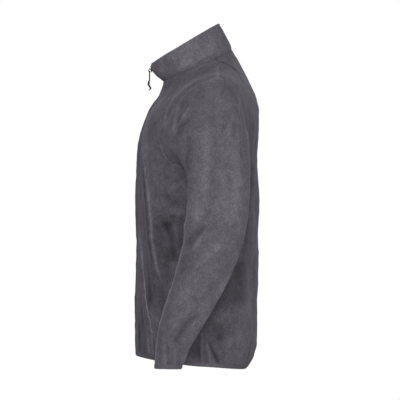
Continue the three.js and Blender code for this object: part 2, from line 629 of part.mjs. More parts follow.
function pullFrameSolid() {
  const armX = bridgeWidth / 2 + 0.45 + frameBar / 2;
  const bar = new THREE.CylinderGeometry(pinRadius, pinRadius, 2 * armX, 12).rotateZ(quarterTurn);
  const arms = [-1, 1].map((side) =>
    extruded(roundedOutline(frameBar, frameLength, 0.5), tabWall, 2)
      .rotateX(quarterTurn)
      .translate(side * armX, tabWall / 2, -frameLength / 2 + pinRadius));
  const tab = extruded(roundedOutline(tabWidth, tabLength - frameLength + 3, 1), tabWall, 2)
    .rotateX(quarterTurn)
    .translate(0, tabWall / 2, -(tabLength + frameLength - 3) / 2 + pinRadius);
  const shoulder = extruded(roundedOutline(frameWidth, 3, 1), tabWall, 2)
    .rotateX(quarterTurn)
    .translate(0, tabWall / 2, -frameLength + pinRadius);
  return toGeometry(joined([bar, ...arms, shoulder, tab]));
}

const pullFrame = addPiece("pull_frame", pullFrameSolid(), metalMaterial);
pullFrame.position.copy(pivot);

// The grip sways a little like the soft moulding it is; its ends are rounded.
function gripGeometry() {
  const rings = Array.from({ length: gripSteps + 1 }, (_, i) => {
    const t = i / gripSteps;
    const radius = gripRadius * Math.sin(Math.PI * (0.16 + 0.68 * t)) ** 0.5;
    const middle = new THREE.Vector3(0, -gripSway * Math.sin(2 * Math.PI * t), -gripLength * t);
    return levelsBetween(0, 1, 8).slice(0, -1).map((turn) => {
      const out = new THREE.Vector3(Math.cos(turn * 2 * Math.PI), Math.sin(turn * 2 * Math.PI), 0);
      return middle.clone().addScaledVector(out, radius);
    });
  });
  const count = rings[0].length;
  const points = rings.flat();
  const faces = [];
  for (let i = 0; i < gripSteps; i += 1) {
    for (let j = 0; j < count; j += 1) {
      const next = (j + 1) % count;
      faces.push([i * count + j, i * count + next, (i + 1) * count + next]);
      faces.push([i * count + j, (i + 1) * count + next, (i + 1) * count + j]);
    }
  }
  for (let j = 1; j < count - 1; j += 1) {
    faces.push([0, j + 1, j]);
    faces.push([gripSteps * count, gripSteps * count + j, gripSteps * count + j + 1]);
  }
  return solidGeometry(points, faces);
}

const grip = addPiece("pull_grip", gripGeometry(), gripMaterial);
grip.position.copy(pivot).add(new THREE.Vector3(0, 0, pinRadius - tabLength - seamGap));

// Pocket strips: each is the part of its front that a slanted block covers, moved out from the front's own points
for (const [side, panel] of [["left", frontLeft], ["right", frontRight]]) {
  const sign = side === "left" ? 1 : -1;
  const length = Math.hypot(pocketBottomX - pocketTopX, pocketBottomZ - pocketTopZ);
  const slant = Math.atan2(pocketBottomX - pocketTopX, pocketTopZ - pocketBottomZ);
  const block = new THREE.BoxGeometry(pocketWidth, pocketReach, length);
  block.rotateY(-slant * sign);
  block.translate(
    sign * (pocketTopX + pocketBottomX) / 2,
    trunk.frontY(pocketAt),
    (pocketTopZ + pocketBottomZ) / 2,
  );
  const raised = toSolid(wallGeometry(panel, seamGap + pocketWall, seamGap));
  addPiece(`pocket_welt_${side}`, toGeometry(raised.intersect(toSolid(block))), fleeceMaterial);
}

export default jacket;
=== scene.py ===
import math

import bmesh
import bpy
import numpy as np
from mathutils import Matrix


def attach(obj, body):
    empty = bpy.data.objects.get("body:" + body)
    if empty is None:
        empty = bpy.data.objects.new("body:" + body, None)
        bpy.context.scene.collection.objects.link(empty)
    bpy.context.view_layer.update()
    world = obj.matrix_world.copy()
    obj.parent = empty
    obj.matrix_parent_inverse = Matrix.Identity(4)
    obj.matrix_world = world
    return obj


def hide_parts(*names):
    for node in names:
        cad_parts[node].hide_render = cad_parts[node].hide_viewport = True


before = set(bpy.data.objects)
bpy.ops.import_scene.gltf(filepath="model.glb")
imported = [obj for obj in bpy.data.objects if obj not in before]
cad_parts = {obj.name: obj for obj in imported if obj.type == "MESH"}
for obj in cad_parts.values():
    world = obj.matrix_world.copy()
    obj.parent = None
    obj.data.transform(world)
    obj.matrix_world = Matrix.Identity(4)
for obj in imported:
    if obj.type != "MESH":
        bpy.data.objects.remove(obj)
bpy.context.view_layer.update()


# Studio: a level camera far off the wearer's left side, on a long lens, a pale floor far below the hanging
# jacket, one broad soft light high on the camera's side and a weaker one behind. The walls are white.
picture_width = 0.88
picture_middle = (0.0044, -0.2948)
camera_distance = 12.0
sensor_width = 36.0
floor_level = -1.48
floor_radius = 6.0
wall_white = 1.0
wall_glow = 0.21

lens = bpy.data.cameras.new("studio_camera")
lens.sensor_width = sensor_width
lens.lens = sensor_width * camera_distance / picture_width
lens.clip_end = 100
camera = bpy.data.objects.new("studio_camera", lens)
camera.location = (camera_distance, *picture_middle)
camera.rotation_euler = (math.radians(90), 0, math.radians(90))
bpy.context.collection.objects.link(camera)
bpy.context.scene.camera = camera
bpy.context.scene.view_settings.view_transform = "Standard"

walls = bpy.data.worlds.new("studio_walls")
bpy.context.scene.world = walls
walls.use_nodes = True
wall_nodes = walls.node_tree.nodes
wall_nodes.clear()
seen_white = wall_nodes.new("ShaderNodeBackground")
seen_white.inputs["Strength"].default_value = wall_white
given_light = wall_nodes.new("ShaderNodeBackground")
given_light.inputs["Color"].default_value = (1, 1, 1, 1)
seen_white.inputs["Color"].default_value = (1, 1, 1, 1)
given_light.inputs["Strength"].default_value = wall_glow
ray_kind = wall_nodes.new("ShaderNodeLightPath")
either = wall_nodes.new("ShaderNodeMixShader")
wall_out = wall_nodes.new("ShaderNodeOutputWorld")
walls.node_tree.links.new(ray_kind.outputs["Is Camera Ray"], either.inputs["Fac"])
walls.node_tree.links.new(given_light.outputs[0], either.inputs[1])
walls.node_tree.links.new(seen_white.outputs[0], either.inputs[2])
walls.node_tree.links.new(either.outputs[0], wall_out.inputs["Surface"])


def soft_light(name, place, aim, size, power):
    lamp = bpy.data.lights.new(name, "AREA")
    lamp.shape = "DISK"
    lamp.size = size
    lamp.energy = power
    holder = bpy.data.objects.new(name, lamp)
    holder.location = place
    run = np.subtract(aim, place)
    holder.rotation_euler = (
        math.atan2(math.hypot(run[0], run[1]), -run[2]),
        0,
        math.atan2(run[1], run[0]) - math.pi / 2,
    )
    bpy.context.collection.objects.link(holder)


soft_light("key_light", (4.9, 0.2, 1.5), (0, 0, -0.3), 2.6, 265)
soft_light("far_light", (-3.6, -0.4, 2.2), (0, 0, -0.3), 2.4, 40)

floor_mesh = bpy.data.meshes.new("studio_floor")
floor_build = bmesh.new()
bmesh.ops.create_circle(floor_build, cap_ends=True, segments=96, radius=floor_radius)
bmesh.ops.translate(floor_build, verts=floor_build.verts, vec=(0, 0, floor_level))
floor_build.to_mesh(floor_mesh)
floor_build.free()
floor_paint = bpy.data.materials.new("floor_paint")
floor_paint.use_nodes = True
floor_paint.node_tree.nodes["Principled BSDF"].inputs["Base Color"].default_value = (0.8, 0.8, 0.8, 1)
floor_paint.node_tree.nodes["Principled BSDF"].inputs["Roughness"].default_value = 0.9
floor_mesh.materials.append(floor_paint)
studio_floor = bpy.data.objects.new("studio_floor", floor_mesh)
bpy.context.collection.objects.link(studio_floor)


# Fronts and back: panels of brushed polyester fleece about 3 mm thick, cut flat and sewn at the sides and
# shoulders. They keep the worn, rounded shape, with soft creases where the cloth buckles under the arms and
# above the hem.
fleece_wall = 3.0
front_edge_x = 7.0
underarm_at = 425.0
shoulder_at = 625.0
neck_at = 780.0
collar_top_at = 850.0
armhole_front_cut = 126.0
armhole_back_cut = 88.0
armhole_bluntness = 0.88
placket_rise = 2.2
slit_depth = 2.0
slit_starts = (716, 724)
slit_ends = (776, 779)
slit_width = 2.0
turn_back = 9.5
stitch_inset = 9
# Painted highlight along the seams, and painted light in the armpit that lightens the shade where the sleeve
# meets the trunk.
seam_painted_highlight = 0.26
armpit_painted_light = 0.55
arc_samples = 64
edge_steps = np.array([0, 0.5, 1.2, 2.2, 3.6, 5.4, 7.6])
mesh_step = 2.7
back_step = 3.4

ring_columns = (
    "at", "front_y", "front_z", "side_x", "body_x", "side_y", "side_z",
    "back_y", "back_z", "square", "crown", "seam",
)
trunk_rings = (
    (-10, -136, -637, 197, 197, 9, -657, 103, -666, 2.6, 1, 0.5),
    (0, -137, -627, 199, 199, 9, -647, 112, -657, 2.6, 1, 0.5),
    (20, -138, -607, 204, 204, 9, -627, 123, -638, 2.6, 1, 0.5),
    (50, -138, -577, 208, 208, 10, -597, 130, -607, 2.6, 1, 0.5),
    (120, -137.5, -509, 209, 209, 12, -527, 130.5, -534, 2.6, 1, 0.5),
    (220, -135.5, -417, 207, 207, 15, -429, 130.5, -432, 2.6, 1, 0.5),
    (320, -135, -328, 208, 208, 20, -332, 130, -333, 2.6, 1, 0.5),
    (425, -133.5, -240, 213, 212, 26, -232, 130, -236, 2.5, 1.2, 0.5),
    (475, -132.5, -200, 218, 212, 30, -183, 131, -192, 2.5, 1.4, 0.5),
    (530, -128, -160, 224, 210, 34, -125, 134.5, -146, 2.45, 1.7, 0.5),
    (580, -116, -121, 228, 202, 39, -72, 133, -104, 2.35, 2, 0.5),
    (625, -104, -95, 228, 186, 44, -32, 126, -70, 2.2, 2, 0.5),
    (695, -85, -65, 157, 143, 41, -11, 102, -16, 2.1, 1.8, 0.5),
    (750, -78, -47, 98, 97, 28, 5, 84, 19, 2.05, 1.4, 0.56),
    (780, -76.5, -35.5, 73, 73, -0.5, 0, 75, 35, 2, 1, 0.665),
    (800, -93, -21, 72.5, 72.5, -10, 14, 69, 49, 2, 1, 0.665),
    (825, -105, -4, 71, 71, -20, 32, 58.5, 70, 2, 1, 0.665),
    (850, -102, 7, 70, 70, -26, 51, 46, 94, 2, 1, 0.665),
)

# Folds: where on the cloth they show, the points of their line there (x, z on the front and back, y, z
# elsewhere and on the sleeves), their width, how far they lift the cloth, and the share of that on the
# wearer's right. "over" is cloth that faces up and "beside" is all that lies far enough from the middle,
# whichever way it faces.
trunk_folds = (
    ("front", ((112, -205), (150, -331), (170, -462)), 22, 6, 0.9),
    ("front", ((60, -180), (92, -288), (118, -400)), 24, -3, 1.1),
    ("front", ((45, -330), (46, -465), (52, -600)), 24, -3, 0.8),
    ("side", ((-64, -292), (-58, -362), (-42, -430)), 20, -8, 0.9),
    ("side", ((-30, -470), (-42, -532), (-66, -600)), 20, -5, 0.9),
    ("side", ((100, -360), (99, -460), (84, -560)), 24, -6, 0.9),
    ("side", ((60, -470), (68, -540), (66, -610)), 22, 4, 0.8),
    ("back", ((70, -130), (121, -210), (150, -300)), 26, -4, 0.9),
    ("back", ((40, -260), (49, -382), (70, -500)), 28, 4, 0.7),
    ("back", ((120, -420), (114, -515), (96, -610)), 24, -4, 1.1),
)
trunk_creases = (
    ("side", ((-123, -147), (-111, -251), (-101, -381), (-92, -431), (-84, -458)), 4.5, 2.6, 1.1),
    ("side", ((-131, -170), (-121, -260), (-112, -380), (-104, -440)), 7, -2.4, 0.9),
    ("side", ((-90, -304), (-70, -330), (-47, -335), (-25, -327)), 7, 3.5, 0.8),
    ("side", ((-78, -280), (-60, -306), (-38, -312)), 8, -2.5, 1.1),
    ("side", ((-96, -420), (-88, -500), (-96, -590)), 7, 2.2, 0.9),
    ("side", ((-80, -470), (-74, -540), (-84, -610)), 7, -2.5, 1.0),
    ("side", ((29, -606), (38, -630), (47, -651)), 5, -2.2, 0.9),
    ("side", ((-11, -612), (-4, -630), (2, -650)), 5, 2.0, 1.1),
    ("side", ((20, -600), (24, -628), (27, -650)), 4, 1.8, 0.9),
    ("side", ((120, -590), (116, -620), (108, -644)), 6, -2.4, 1.0),
    ("side", ((70, -560), (86, -600), (92, -640)), 8, -2.6, 0.8),
    ("side", ((108, -440), (96, -500), (100, -560)), 9, 2.4, 0.9),
    ("front", ((24, -120), (40, -220), (34, -330)), 12, -1.6, 0.8),
    ("front", ((30, -360), (64, -470), (60, -560)), 14, 1.8, 1.2),
    ("front", ((150, -470), (164, -540), (158, -620)), 12, -2.4, 0.9),
    ("front", ((100, -560), (108, -600), (104, -636)), 9, -2.0, 1.1),
    ("front", ((40, -585), (44, -612), (40, -636)), 7, -1.6, 0.9),
    ("front", ((70, -100), (104, -130), (140, -178)), 10, 2.0, 0.9),
    ("back", ((30, -70), (70, -92), (120, -98)), 12, -2.0, 0.9),
    ("back", ((20, -470), (60, -560), (50, -640)), 16, -2.6, 0.8),
    ("back", ((90, -300), (60, -380), (66, -450)), 14, -2.2, 1.2),
    ("back", ((150, -330), (160, -430), (140, -520)), 14, 2.6, 0.9),
    ("back", ((30, -600), (34, -630), (32, -652)), 8, -1.8, 1.0),
    ("back", ((76, -596), (80, -626), (84, -650)), 7, 1.8, 1.0),
    ("back", ((128, -590), (126, -620), (120, -646)), 7, -2.0, 0.9),
)

# Painted light and shade on the fronts and back: lines and patches where the fleece's colour is made lighter
# where ridges, seams and edges would catch the light, and darker in creases, hollows, the shade beside the
# arm and on faces turned away from the lamps; the same columns, with the change of its tone in place of a
# height.
trunk_painted_light = (
    (
        "side",
        ((-122, -158), (-119, -206), (-112, -259), (-107, -298), (-102, -340), (-101, -372), (-96, -406),
         (-88, -447), (-81, -466)),
        2.0, 0.5, 0.9,
    ),
    (
        "side",
        ((-128, -170), (-124, -220), (-118, -270), (-112, -320), (-108, -380), (-103, -430)),
        5.0, -0.16, 0.9,
    ),
    ("side", ((-71, -345), (-58, -366), (-55, -396), (-47, -428)), 8.0, -0.42, 0.9),
    ("side", ((-84, -306), (-68, -329), (-44, -334), (-28, -326)), 4.5, -0.2, 1.0),
    ("side", ((-112, -345), (-86, -350), (-66, -344)), 5.0, -0.1, 1.1),
    ("side", ((-96, -338), (-80, -352), (-70, -372)), 4.0, 0.12, 0.9),
    ("side", ((-80, -160), (-84, -180), (-76, -200)), 7.0, -0.14, 1.0),
    ("side", ((-50, -190), (-44, -250), (-40, -300)), 9.0, -0.16, 1.0),
    ("side", ((-110, -592), (-107, -620), (-103, -650)), 2.6, 0.55, 0.9),
    ("side", ((-101, -587), (-99, -616), (-96, -650)), 2.6, 0.5, 1.0),
    ("side", ((9, -560), (9, -600), (9, -652)), 2.4, 0.4, 1.0),
    ("side", ((3, -590), (3, -652)), 4.0, -0.16, 1.0),
    ("side", ((22, -600), (34, -628), (46, -650)), 4.5, -0.42, 0.9),
    ("side", ((17, -600), (24, -626), (29, -652)), 3.0, 0.16, 1.1),
    ("side", ((96, -430), (100, -480), (92, -560)), 16.0, -0.14, 1.0),
    ("side", ((113, -606), (106, -630), (102, -642)), 5.5, -0.24, 0.9),
    ("side", ((112, -560), (100, -620)), 8.0, -0.12, 1.0),
    ("side", ((114, -96), (121, -140), (119, -180), (112, -260), (107, -340), (102, -420)), 6.5, -0.42, 1.0),
    ("beside", ((46, 7), (60, 3), (75, -6), (101, -25)), 2.2, -0.5, 0.9),
    ("side", ((88, -68), (104, -78), (118, -88)), 3.0, 0.16, 0.9),
    ("side", ((60, -30), (90, -48), (112, -64)), 8.0, 0.08, 1.0),
    ("beside", ((43, 4), (43, -14), (41, -30)), 2.4, 0.3, 1.0),
    ("side", ((-74, -315), (-84, -400), (-90, -450), (-90, -520)), 20.0, -0.42, 0.9),
    ("side", ((99, -428), (94, -470), (88, -520)), 17.0, -0.38, 1.0),
    ("side", ((86, -570), (84, -640)), 14.0, 0.12, 1.0),
    ("side", ((-52, -325), (-58, -352)), 9.0, -0.35, 0.9),
    ("side", ((-62, -400), (-66, -432), (-62, -468)), 10.0, -0.35, 0.9),
    ("side", ((-108, -385), (-100, -430)), 7.0, -0.2, 0.9),
    ("side", ((-122, -210), (-118, -300), (-112, -375)), 9.0, -0.18, 1.0),
    ("side", ((-8, -615), (8, -650)), 10.0, -0.3, 1.0),
    ("over", ((-70, -80), (-40, -46), (4, -22), (31, -11)), 11.0, -0.2, 1.0),
    ("over", ((100, -66), (118, -85)), 10.0, -0.14, 1.0),
    ("back", ((110, -130), (125, -160), (130, -200)), 34.0, -0.28, 1.0),
    ("front", ((110, -500), (110, -570), (110, -640)), 50.0, -0.3, 1.0),
    ("side", ((-28, -150), (-26, -215)), 12.0, -0.12, 1.0),
    ("side", ((-66, -285), (-50, -305)), 12.0, -0.2, 1.0),
    ("side", ((46, -560), (54, -600)), 18.0, -0.25, 0.9),
    ("side", ((-6, -605), (30, -645)), 14.0, -0.2, 1.1),
    ("side", ((-96, -575), (-92, -620)), 12.0, 0.18, 1.0),
    ("side", ((-118, -165), (-110, -205)), 14.0, 0.14, 1.0),
    ("side", ((-128, -270), (-124, -340), (-120, -380)), 12.0, -0.15, 0.9),
    ("side", ((-33, -196), (-27, -245), (-22, -295)), 9.0, 0.4, 1.0),
    ("beside", ((-9, -39), (-31, -51), (-51, -70), (-66, -96), (-71, -112), (-72, -130)), 2.2, 0.55, 0.9),
    ("beside", ((-72, -69), (-98, -101), (-114, -124), (-122, -150)), 2.0, 0.5, 1.0),
    ("beside", ((-66, -60), (-93, -94), (-110, -118)), 4.0, -0.26, 1.0),
    ("beside", ((-92, -118), (-104, -150), (-106, -175)), 7.0, -0.2, 1.0),
    ("beside", ((-12, 8), (10, 12), (30, 18)), 7.0, 0.2, 1.0),
    ("beside", ((-75, -140), (-78, -165), (-72, -190)), 4.0, -0.3, 1.0),
    ("beside", ((58, -14), (82, -34)), 12.0, 0.14, 1.0),
    ("beside", ((-130, -362), (-125, -395), (-120, -432)), 2.8, 0.6, 1.0),
    ("side", ((-136, -420), (-134, -500), (-136, -620)), 4.0, 0.2, 1.0),
    ("side", ((-130, -500), (-128, -560), (-128, -640)), 4.0, -0.25, 1.0),
    ("side", ((-107, -440), (-104, -500), (-106, -560)), 3.4, -0.22, 1.0),
    ("side", ((-105, -535), (-109, -570)), 2.6, 0.3, 1.0),
    ("side", ((-70, -150), (-66, -210), (-62, -270)), 10.0, -0.22, 1.0),
    ("side", ((-36, -330), (-38, -370), (-34, -400)), 8.0, -0.3, 1.0),
    ("side", ((-126, -470), (-130, -560), (-126, -640)), 12.0, -0.14, 1.0),
    ("side", ((-100, -520), (-102, -590)), 5.0, 0.3, 1.0),
    ("side", ((44, -560), (48, -610), (46, -645)), 15.0, -0.22, 1.0),
    ("side", ((104, -440), (106, -540), (104, -620)), 10.0, 0.22, 1.0),
    ("side", ((88, -560), (90, -640)), 9.0, 0.16, 1.0),
    ("side", ((-120, -155), (-112, -190)), 9.0, 0.16, 1.0),
    ("back", ((40, -300), (44, -400), (50, -560)), 60.0, 0.1, 1.0),
    ("front", ((30, -120), (46, -200), (40, -300)), 10.0, -0.08, 0.9),
    ("front", ((70, -330), (84, -420), (80, -520)), 12.0, 0.07, 1.1),
    ("front", ((110, -250), (130, -330), (126, -400)), 9.0, -0.1, 1.0),
    ("front", ((60, -560), (66, -600), (62, -640)), 6.0, -0.1, 0.9),
    ("back", ((40, -110), (90, -180), (120, -260)), 12.0, -0.08, 0.9),
    ("back", ((30, -300), (44, -400), (40, -520)), 14.0, 0.07, 1.1),
    ("back", ((100, -440), (90, -540), (96, -620)), 10.0, -0.12, 0.9),
    ("back", ((20, -570), (24, -620), (20, -650)), 7.0, -0.1, 1.0),
)


def smooth_track(levels, values):
    steps = np.diff(values) / np.diff(levels)
    product = steps[:-1] * steps[1:]
    agree = product > 0
    middle = np.where(agree, 2 * product / np.where(agree, steps[:-1] + steps[1:], 1), 0)
    slopes = np.concatenate([steps[:1], middle, steps[-1:]])

    def read(at):
        i = np.clip(np.searchsorted(levels, at, side="right") - 1, 0, len(levels) - 2)
        span = levels[i + 1] - levels[i]
        t = (at - levels[i]) / span
        rise = values[i + 1] - values[i]
        lead = slopes[i] - rise / span
        trail = slopes[i + 1] - rise / span
        return values[i] + rise * t + t * (1 - t) * span * ((1 - t) * lead - t * trail)

    return read


def smooth_tracks(columns, rows):
    table = np.array(rows, float)
    return {name: smooth_track(table[:, 0], table[:, i]) for i, name in enumerate(columns) if i}


def eased(value, low, high):
    t = np.clip((value - low) / (high - low), 0, 1)
    return t * t * (3 - 2 * t)


def unit(vectors):
    return vectors / np.maximum(np.linalg.norm(vectors, axis=-1, keepdims=True), 1e-12)


trunk = smooth_tracks(ring_columns, trunk_rings)


def quarter_point(at, to_front, turn):
    end_y = np.where(to_front, trunk["front_y"](at), trunk["back_y"](at))
    end_z = np.where(to_front, trunk["front_z"](at), trunk["back_z"](at))
    exponent = 2 / trunk["square"](at)
    crown = trunk["crown"](at)
    along = np.sin(turn * math.pi / 2)
    across = np.abs(np.cos(turn * math.pi / 2))
    dip = 1 - np.maximum(1 - along**crown, 0) ** (1 + 1.5 * (crown - 1))
    spread = trunk["body_x"](at) + (trunk["side_x"](at) - trunk["body_x"](at)) * across**4
    side_y, side_z = trunk["side_y"](at), trunk["side_z"](at)
    return np.stack(
        [
            spread * across**exponent,
            side_y + (end_y - side_y) * along**exponent,
            side_z + (end_z - side_z) * dip,
        ],
        axis=-1,
    )


def quarter_run(at, to_front):
    turns = np.linspace(0, 1, arc_samples + 1)
    arc = quarter_point(at[..., None], to_front[..., None], turns)
    steps = np.linalg.norm(np.diff(arc, axis=-2), axis=-1)
    return np.concatenate([np.zeros(steps.shape[:-1] + (1,)), np.cumsum(steps, axis=-1)], axis=-1)


def quarter_length(at, to_front):
    at = np.asarray(at, float)
    return quarter_run(at, np.full(at.shape, to_front))[..., -1]


# Share of the way round a ring: 0 is the centre front, 0.5 the wearer's left side and 1 the centre back.
def ring_point(at, share):
    at, share = np.broadcast_arrays(np.asarray(at, float), np.asarray(share, float))
    folded = np.where(share > 1, 2 - share, np.abs(share))
    to_front = folded < 0.5
    run = quarter_run(at, to_front)
    wanted = np.clip(np.abs(folded - 0.5) * 2, 0, 1) * run[..., -1]
    i = np.clip((run <= wanted[..., None]).sum(-1) - 1, 0, arc_samples - 1)[..., None]
    low = np.take_along_axis(run, i, -1)[..., 0]
    high = np.take_along_axis(run, i + 1, -1)[..., 0]
    turn = (i[..., 0] + (wanted - low) / (high - low)) / arc_samples
    point = quarter_point(at, to_front, turn)
    point[..., 0] *= np.where((share > 1) | (share < 0), -1.0, 1.0)
    return point


def surface_out(surface, a, b, step_a, step_b):
    along_a = surface(a + step_a, b) - surface(a - step_a, b)
    along_b = surface(a, b + step_b) - surface(a, b - step_b)
    return unit(np.cross(unit(along_a), unit(along_b)))


def bell(distance, width):
    return np.exp(-((distance / width) ** 2))


def fold_height(line, width, lift, a, z):
    points = np.array(line, float)
    legs = np.diff(points, axis=0)
    lengths = np.linalg.norm(legs, axis=1)
    starts = np.concatenate([[0], np.cumsum(lengths)])
    whole = starts[-1]
    nearest = np.full(a.shape, np.inf)
    place = np.zeros(a.shape)
    for start, (point, leg, length) in zip(starts, zip(points, legs, lengths)):
        first, last = start == 0, math.isclose(start + length, whole)
        t = ((a - point[0]) * leg[0] + (z - point[1]) * leg[1]) / length**2
        t = np.clip(t, -0.3 * whole / length if first else 0, 1 + (0.3 * whole / length if last else 0))
        gap = np.hypot(a - point[0] - t * leg[0], z - point[1] - t * leg[1])
        closer = gap < nearest
        nearest = np.where(closer, gap, nearest)
        place = np.where(closer, (start + t * length) / whole, place)
    ends = np.clip(np.minimum((place + 0.15) / 0.3, (1.15 - place) / 0.3), 0, 1)
    return lift * ends * ends * (3 - 2 * ends) * bell(nearest, width)


def trunk_lift(folds, point, out):
    left = point[..., 0] >= 0
    lift = np.zeros(left.shape)
    for face, line, width, height, other in folds:
        if face == "side":
            towards = np.abs(out[..., 0]) * np.sign(point[..., 0] * out[..., 0])
            a = point[..., 1]
        elif face in ("over", "beside"):
            towards = out[..., 2] if face == "over" else np.abs(point[..., 0]) / 200
            a = point[..., 1]
        else:
            towards = out[..., 1] * (-1 if face == "front" else 1)
            a = np.abs(point[..., 0])
        shown = eased(towards, 0.05, 0.5)
        shift = np.where(left, 0, 9)
        lift += fold_height(line, width, height, a + shift, point[..., 2]) * shown * np.where(left, 1, other)
    return lift


# Uneven waves in the cloth: many plane waves of about one length, in directions drawn from a fixed seed.
def uneven(point, wavelength, seed, waves=14):
    draw = np.random.default_rng(seed)
    total = np.zeros(point.shape[:-1])
    for _ in range(waves):
        heading = unit(draw.normal(size=3))
        length = wavelength * draw.uniform(0.65, 1.5)
        total += np.sin(point @ heading * (2 * math.pi / length) + draw.uniform(0, 2 * math.pi))
    return total / math.sqrt(waves / 2)


def trunk_surface(at, share):
    at, share = np.broadcast_arrays(np.asarray(at, float), np.asarray(share, float))
    base = ring_point(at, share)
    out = -surface_out(ring_point, at, share, 4.0, 0.01)
    below_neck = 1 - eased(at, 735, 775)
    lift = trunk_lift(trunk_folds, base, out) * eased(at, -4, 40)
    lift += trunk_lift(trunk_creases, base, out) * eased(at, -6, 14) * below_neck
    lift += (0.75 * uneven(base, 95, 3) + 0.3 * uneven(base, 34, 5)) * eased(at, -6, 24) * below_neck
    from_zip = np.abs(base[..., 0])
    towards_front = eased(-out[..., 1], 0.2, 0.6)
    chest = eased(at, 30, 260)
    lift += (placket_rise * np.exp(-((from_zip / 20) ** 4)) - 2.4 * bell(from_zip - 44, 22)) * (
        towards_front * chest * below_neck
    )
    return base + out * lift[..., None]


def grid_out(points, closed=False):
    down = np.gradient(points, axis=0)
    if closed:
        wide = np.concatenate([points[:, -2:], points, points[:, :2]], axis=1)
        across = np.gradient(wide, axis=1)[:, 2:-2]
    else:
        across = np.gradient(points, axis=1)
    return unit(np.cross(across, down))


# Turns a grid's directions away from the line that runs inside the piece.
def away_from(points, out, inside):
    return out if (out * (points - inside)).sum() > 0 else -out


# A wall of cloth from its outer face: high and low are its two faces' heights above that face.
def cloth_wall(name, points, out, high, low, paint, closed=False, painted_light_and_tone=0.0):
    rows, columns = points.shape[:2]
    high = np.broadcast_to(high, (rows, columns))[..., None]
    low = np.broadcast_to(low, (rows, columns))[..., None]
    layers = np.stack([points + out * high, points + out * low])
    ids = np.arange(2 * rows * columns).reshape(2, rows, columns)
    if closed:
        ids = np.concatenate([ids, ids[:, :, :1]], axis=2)
    top, under = ids
    faces = [
        quads(top[:-1, :-1], top[:-1, 1:], top[1:, 1:], top[1:, :-1]),
        quads(under[:-1, :-1], under[1:, :-1], under[1:, 1:], under[:-1, 1:]),
        quads(top[0, :-1], under[0, :-1], under[0, 1:], top[0, 1:]),
        quads(top[-1, :-1], top[-1, 1:], under[-1, 1:], under[-1, :-1]),
    ]
    if not closed:
        faces.append(quads(top[:-1, 0], top[1:, 0], under[1:, 0], under[:-1, 0]))
        faces.append(quads(top[:-1, -1], under[:-1, -1], under[1:, -1], top[1:, -1]))
    piece = solid_piece(name, layers.reshape(-1, 3), np.concatenate(faces), paint)
    # The outer face carries painted light and shade, a tone change that stands in for light on ridges, seams
    # and edges and shade in creases and hollows; the inner face carries none.
    pile = np.zeros(layers.shape[:3])
    pile[0] = painted_light_and_tone
    piece.data.attributes.new("painted_light_and_tone", "FLOAT", "POINT").data.foreach_set("value", pile.ravel())
    return piece


def quads(a, b, c, d):
    return np.stack([a, b, c, d], axis=-1).reshape(-1, 4)


def solid_piece(name, corners, faces, paint, smooth=True):
    a, b, c, d = (corners[faces[:, i]] for i in range(4))
    if (a * np.cross(b, c)).sum() + (a * np.cross(c, d)).sum() < 0:
        faces = faces[:, ::-1]
    mesh = bpy.data.meshes.new(name)
    mesh.from_pydata((corners / 1000).tolist(), [], faces.tolist())
    mesh.polygons.foreach_set("use_smooth", np.full(len(mesh.polygons), smooth))
    mesh.materials.append(paint)
    mesh.update()
    piece = bpy.data.objects.new(name, mesh)
    bpy.context.collection.objects.link(piece)
    return piece


# Rounds a cut edge: how far the cloth's face falls at a distance from it, with a faint swell just inside.
def seam_fall(distance, fall=0.7, swell=0.35):
    return -fall * bell(distance, 2.4) + swell * bell(distance - 8, 5)


# The cloth turned back along a zip edge: doubled, drawn in at its stitching and rounded at the fold.
def turned_edge(distance, rise):
    doubled = rise * eased(turn_back - distance, 0, 2.5)
    return doubled - 0.5 * bell(distance - stitch_inset, 1.6) - 1.1 * bell(distance, 1.3)


def steps_between(low, high, first_edge=True, last_edge=True, step=mesh_step):
    lead = edge_steps if first_edge else edge_steps[:1]
    trail = edge_steps if last_edge else edge_steps[:1]
    inner_low, inner_high = low + lead[-1], high - trail[-1]
    count = max(int(round((inner_high - inner_low) / step)), 1)
    inner = np.linspace(inner_low, inner_high, count + 1)
    return np.concatenate([low + lead[:-1], inner, high - trail[-2::-1]])


def armhole_place(turn):
    angle = np.asarray(turn, float) * 2 * math.pi
    at = underarm_at + (shoulder_at - underarm_at) * (1 - np.cos(angle)) / 2
    bend = np.abs(np.sin(angle)) ** armhole_bluntness
    front = 0.5 - armhole_front_cut * bend / (2 * quarter_length(at, True))
    back = 0.5 + armhole_back_cut * bend / (2 * quarter_length(at, False))
    return at, np.where(np.sin(angle) >= 0, front, back)


armhole_cells = 78
lower_rows = steps_between(0, underarm_at, last_edge=False)[:-1]
upper_rows = steps_between(shoulder_at, neck_at, first_edge=False)
middle_rows = np.linspace(underarm_at, shoulder_at, armhole_cells + 1)[:-1]
armhole_rows, armhole_front_share = armhole_place(np.arange(armhole_cells) / armhole_cells / 2)
armhole_back_share = armhole_place(1 - np.arange(armhole_cells) / armhole_cells / 2)[1]
row_levels = np.concatenate([lower_rows, middle_rows, upper_rows])
row_end_levels = np.concatenate([lower_rows, armhole_rows, upper_rows])


def panel_edge(towards_back):
    edge = trunk["seam"](row_end_levels)
    armhole = armhole_back_share if towards_back else armhole_front_share
    edge[len(lower_rows) : len(lower_rows) + armhole_cells] = armhole
    return edge


def way_along(points, axis):
    steps = np.linalg.norm(np.diff(points, axis=axis), axis=-1)
    return np.concatenate([np.zeros_like(steps.take([0], axis)), np.cumsum(steps, axis=axis)], axis=axis)


def trunk_inside(points):
    return np.stack([points[..., 0] * 0, points[..., 1] * 0 + 10, points[..., 2]], axis=-1)


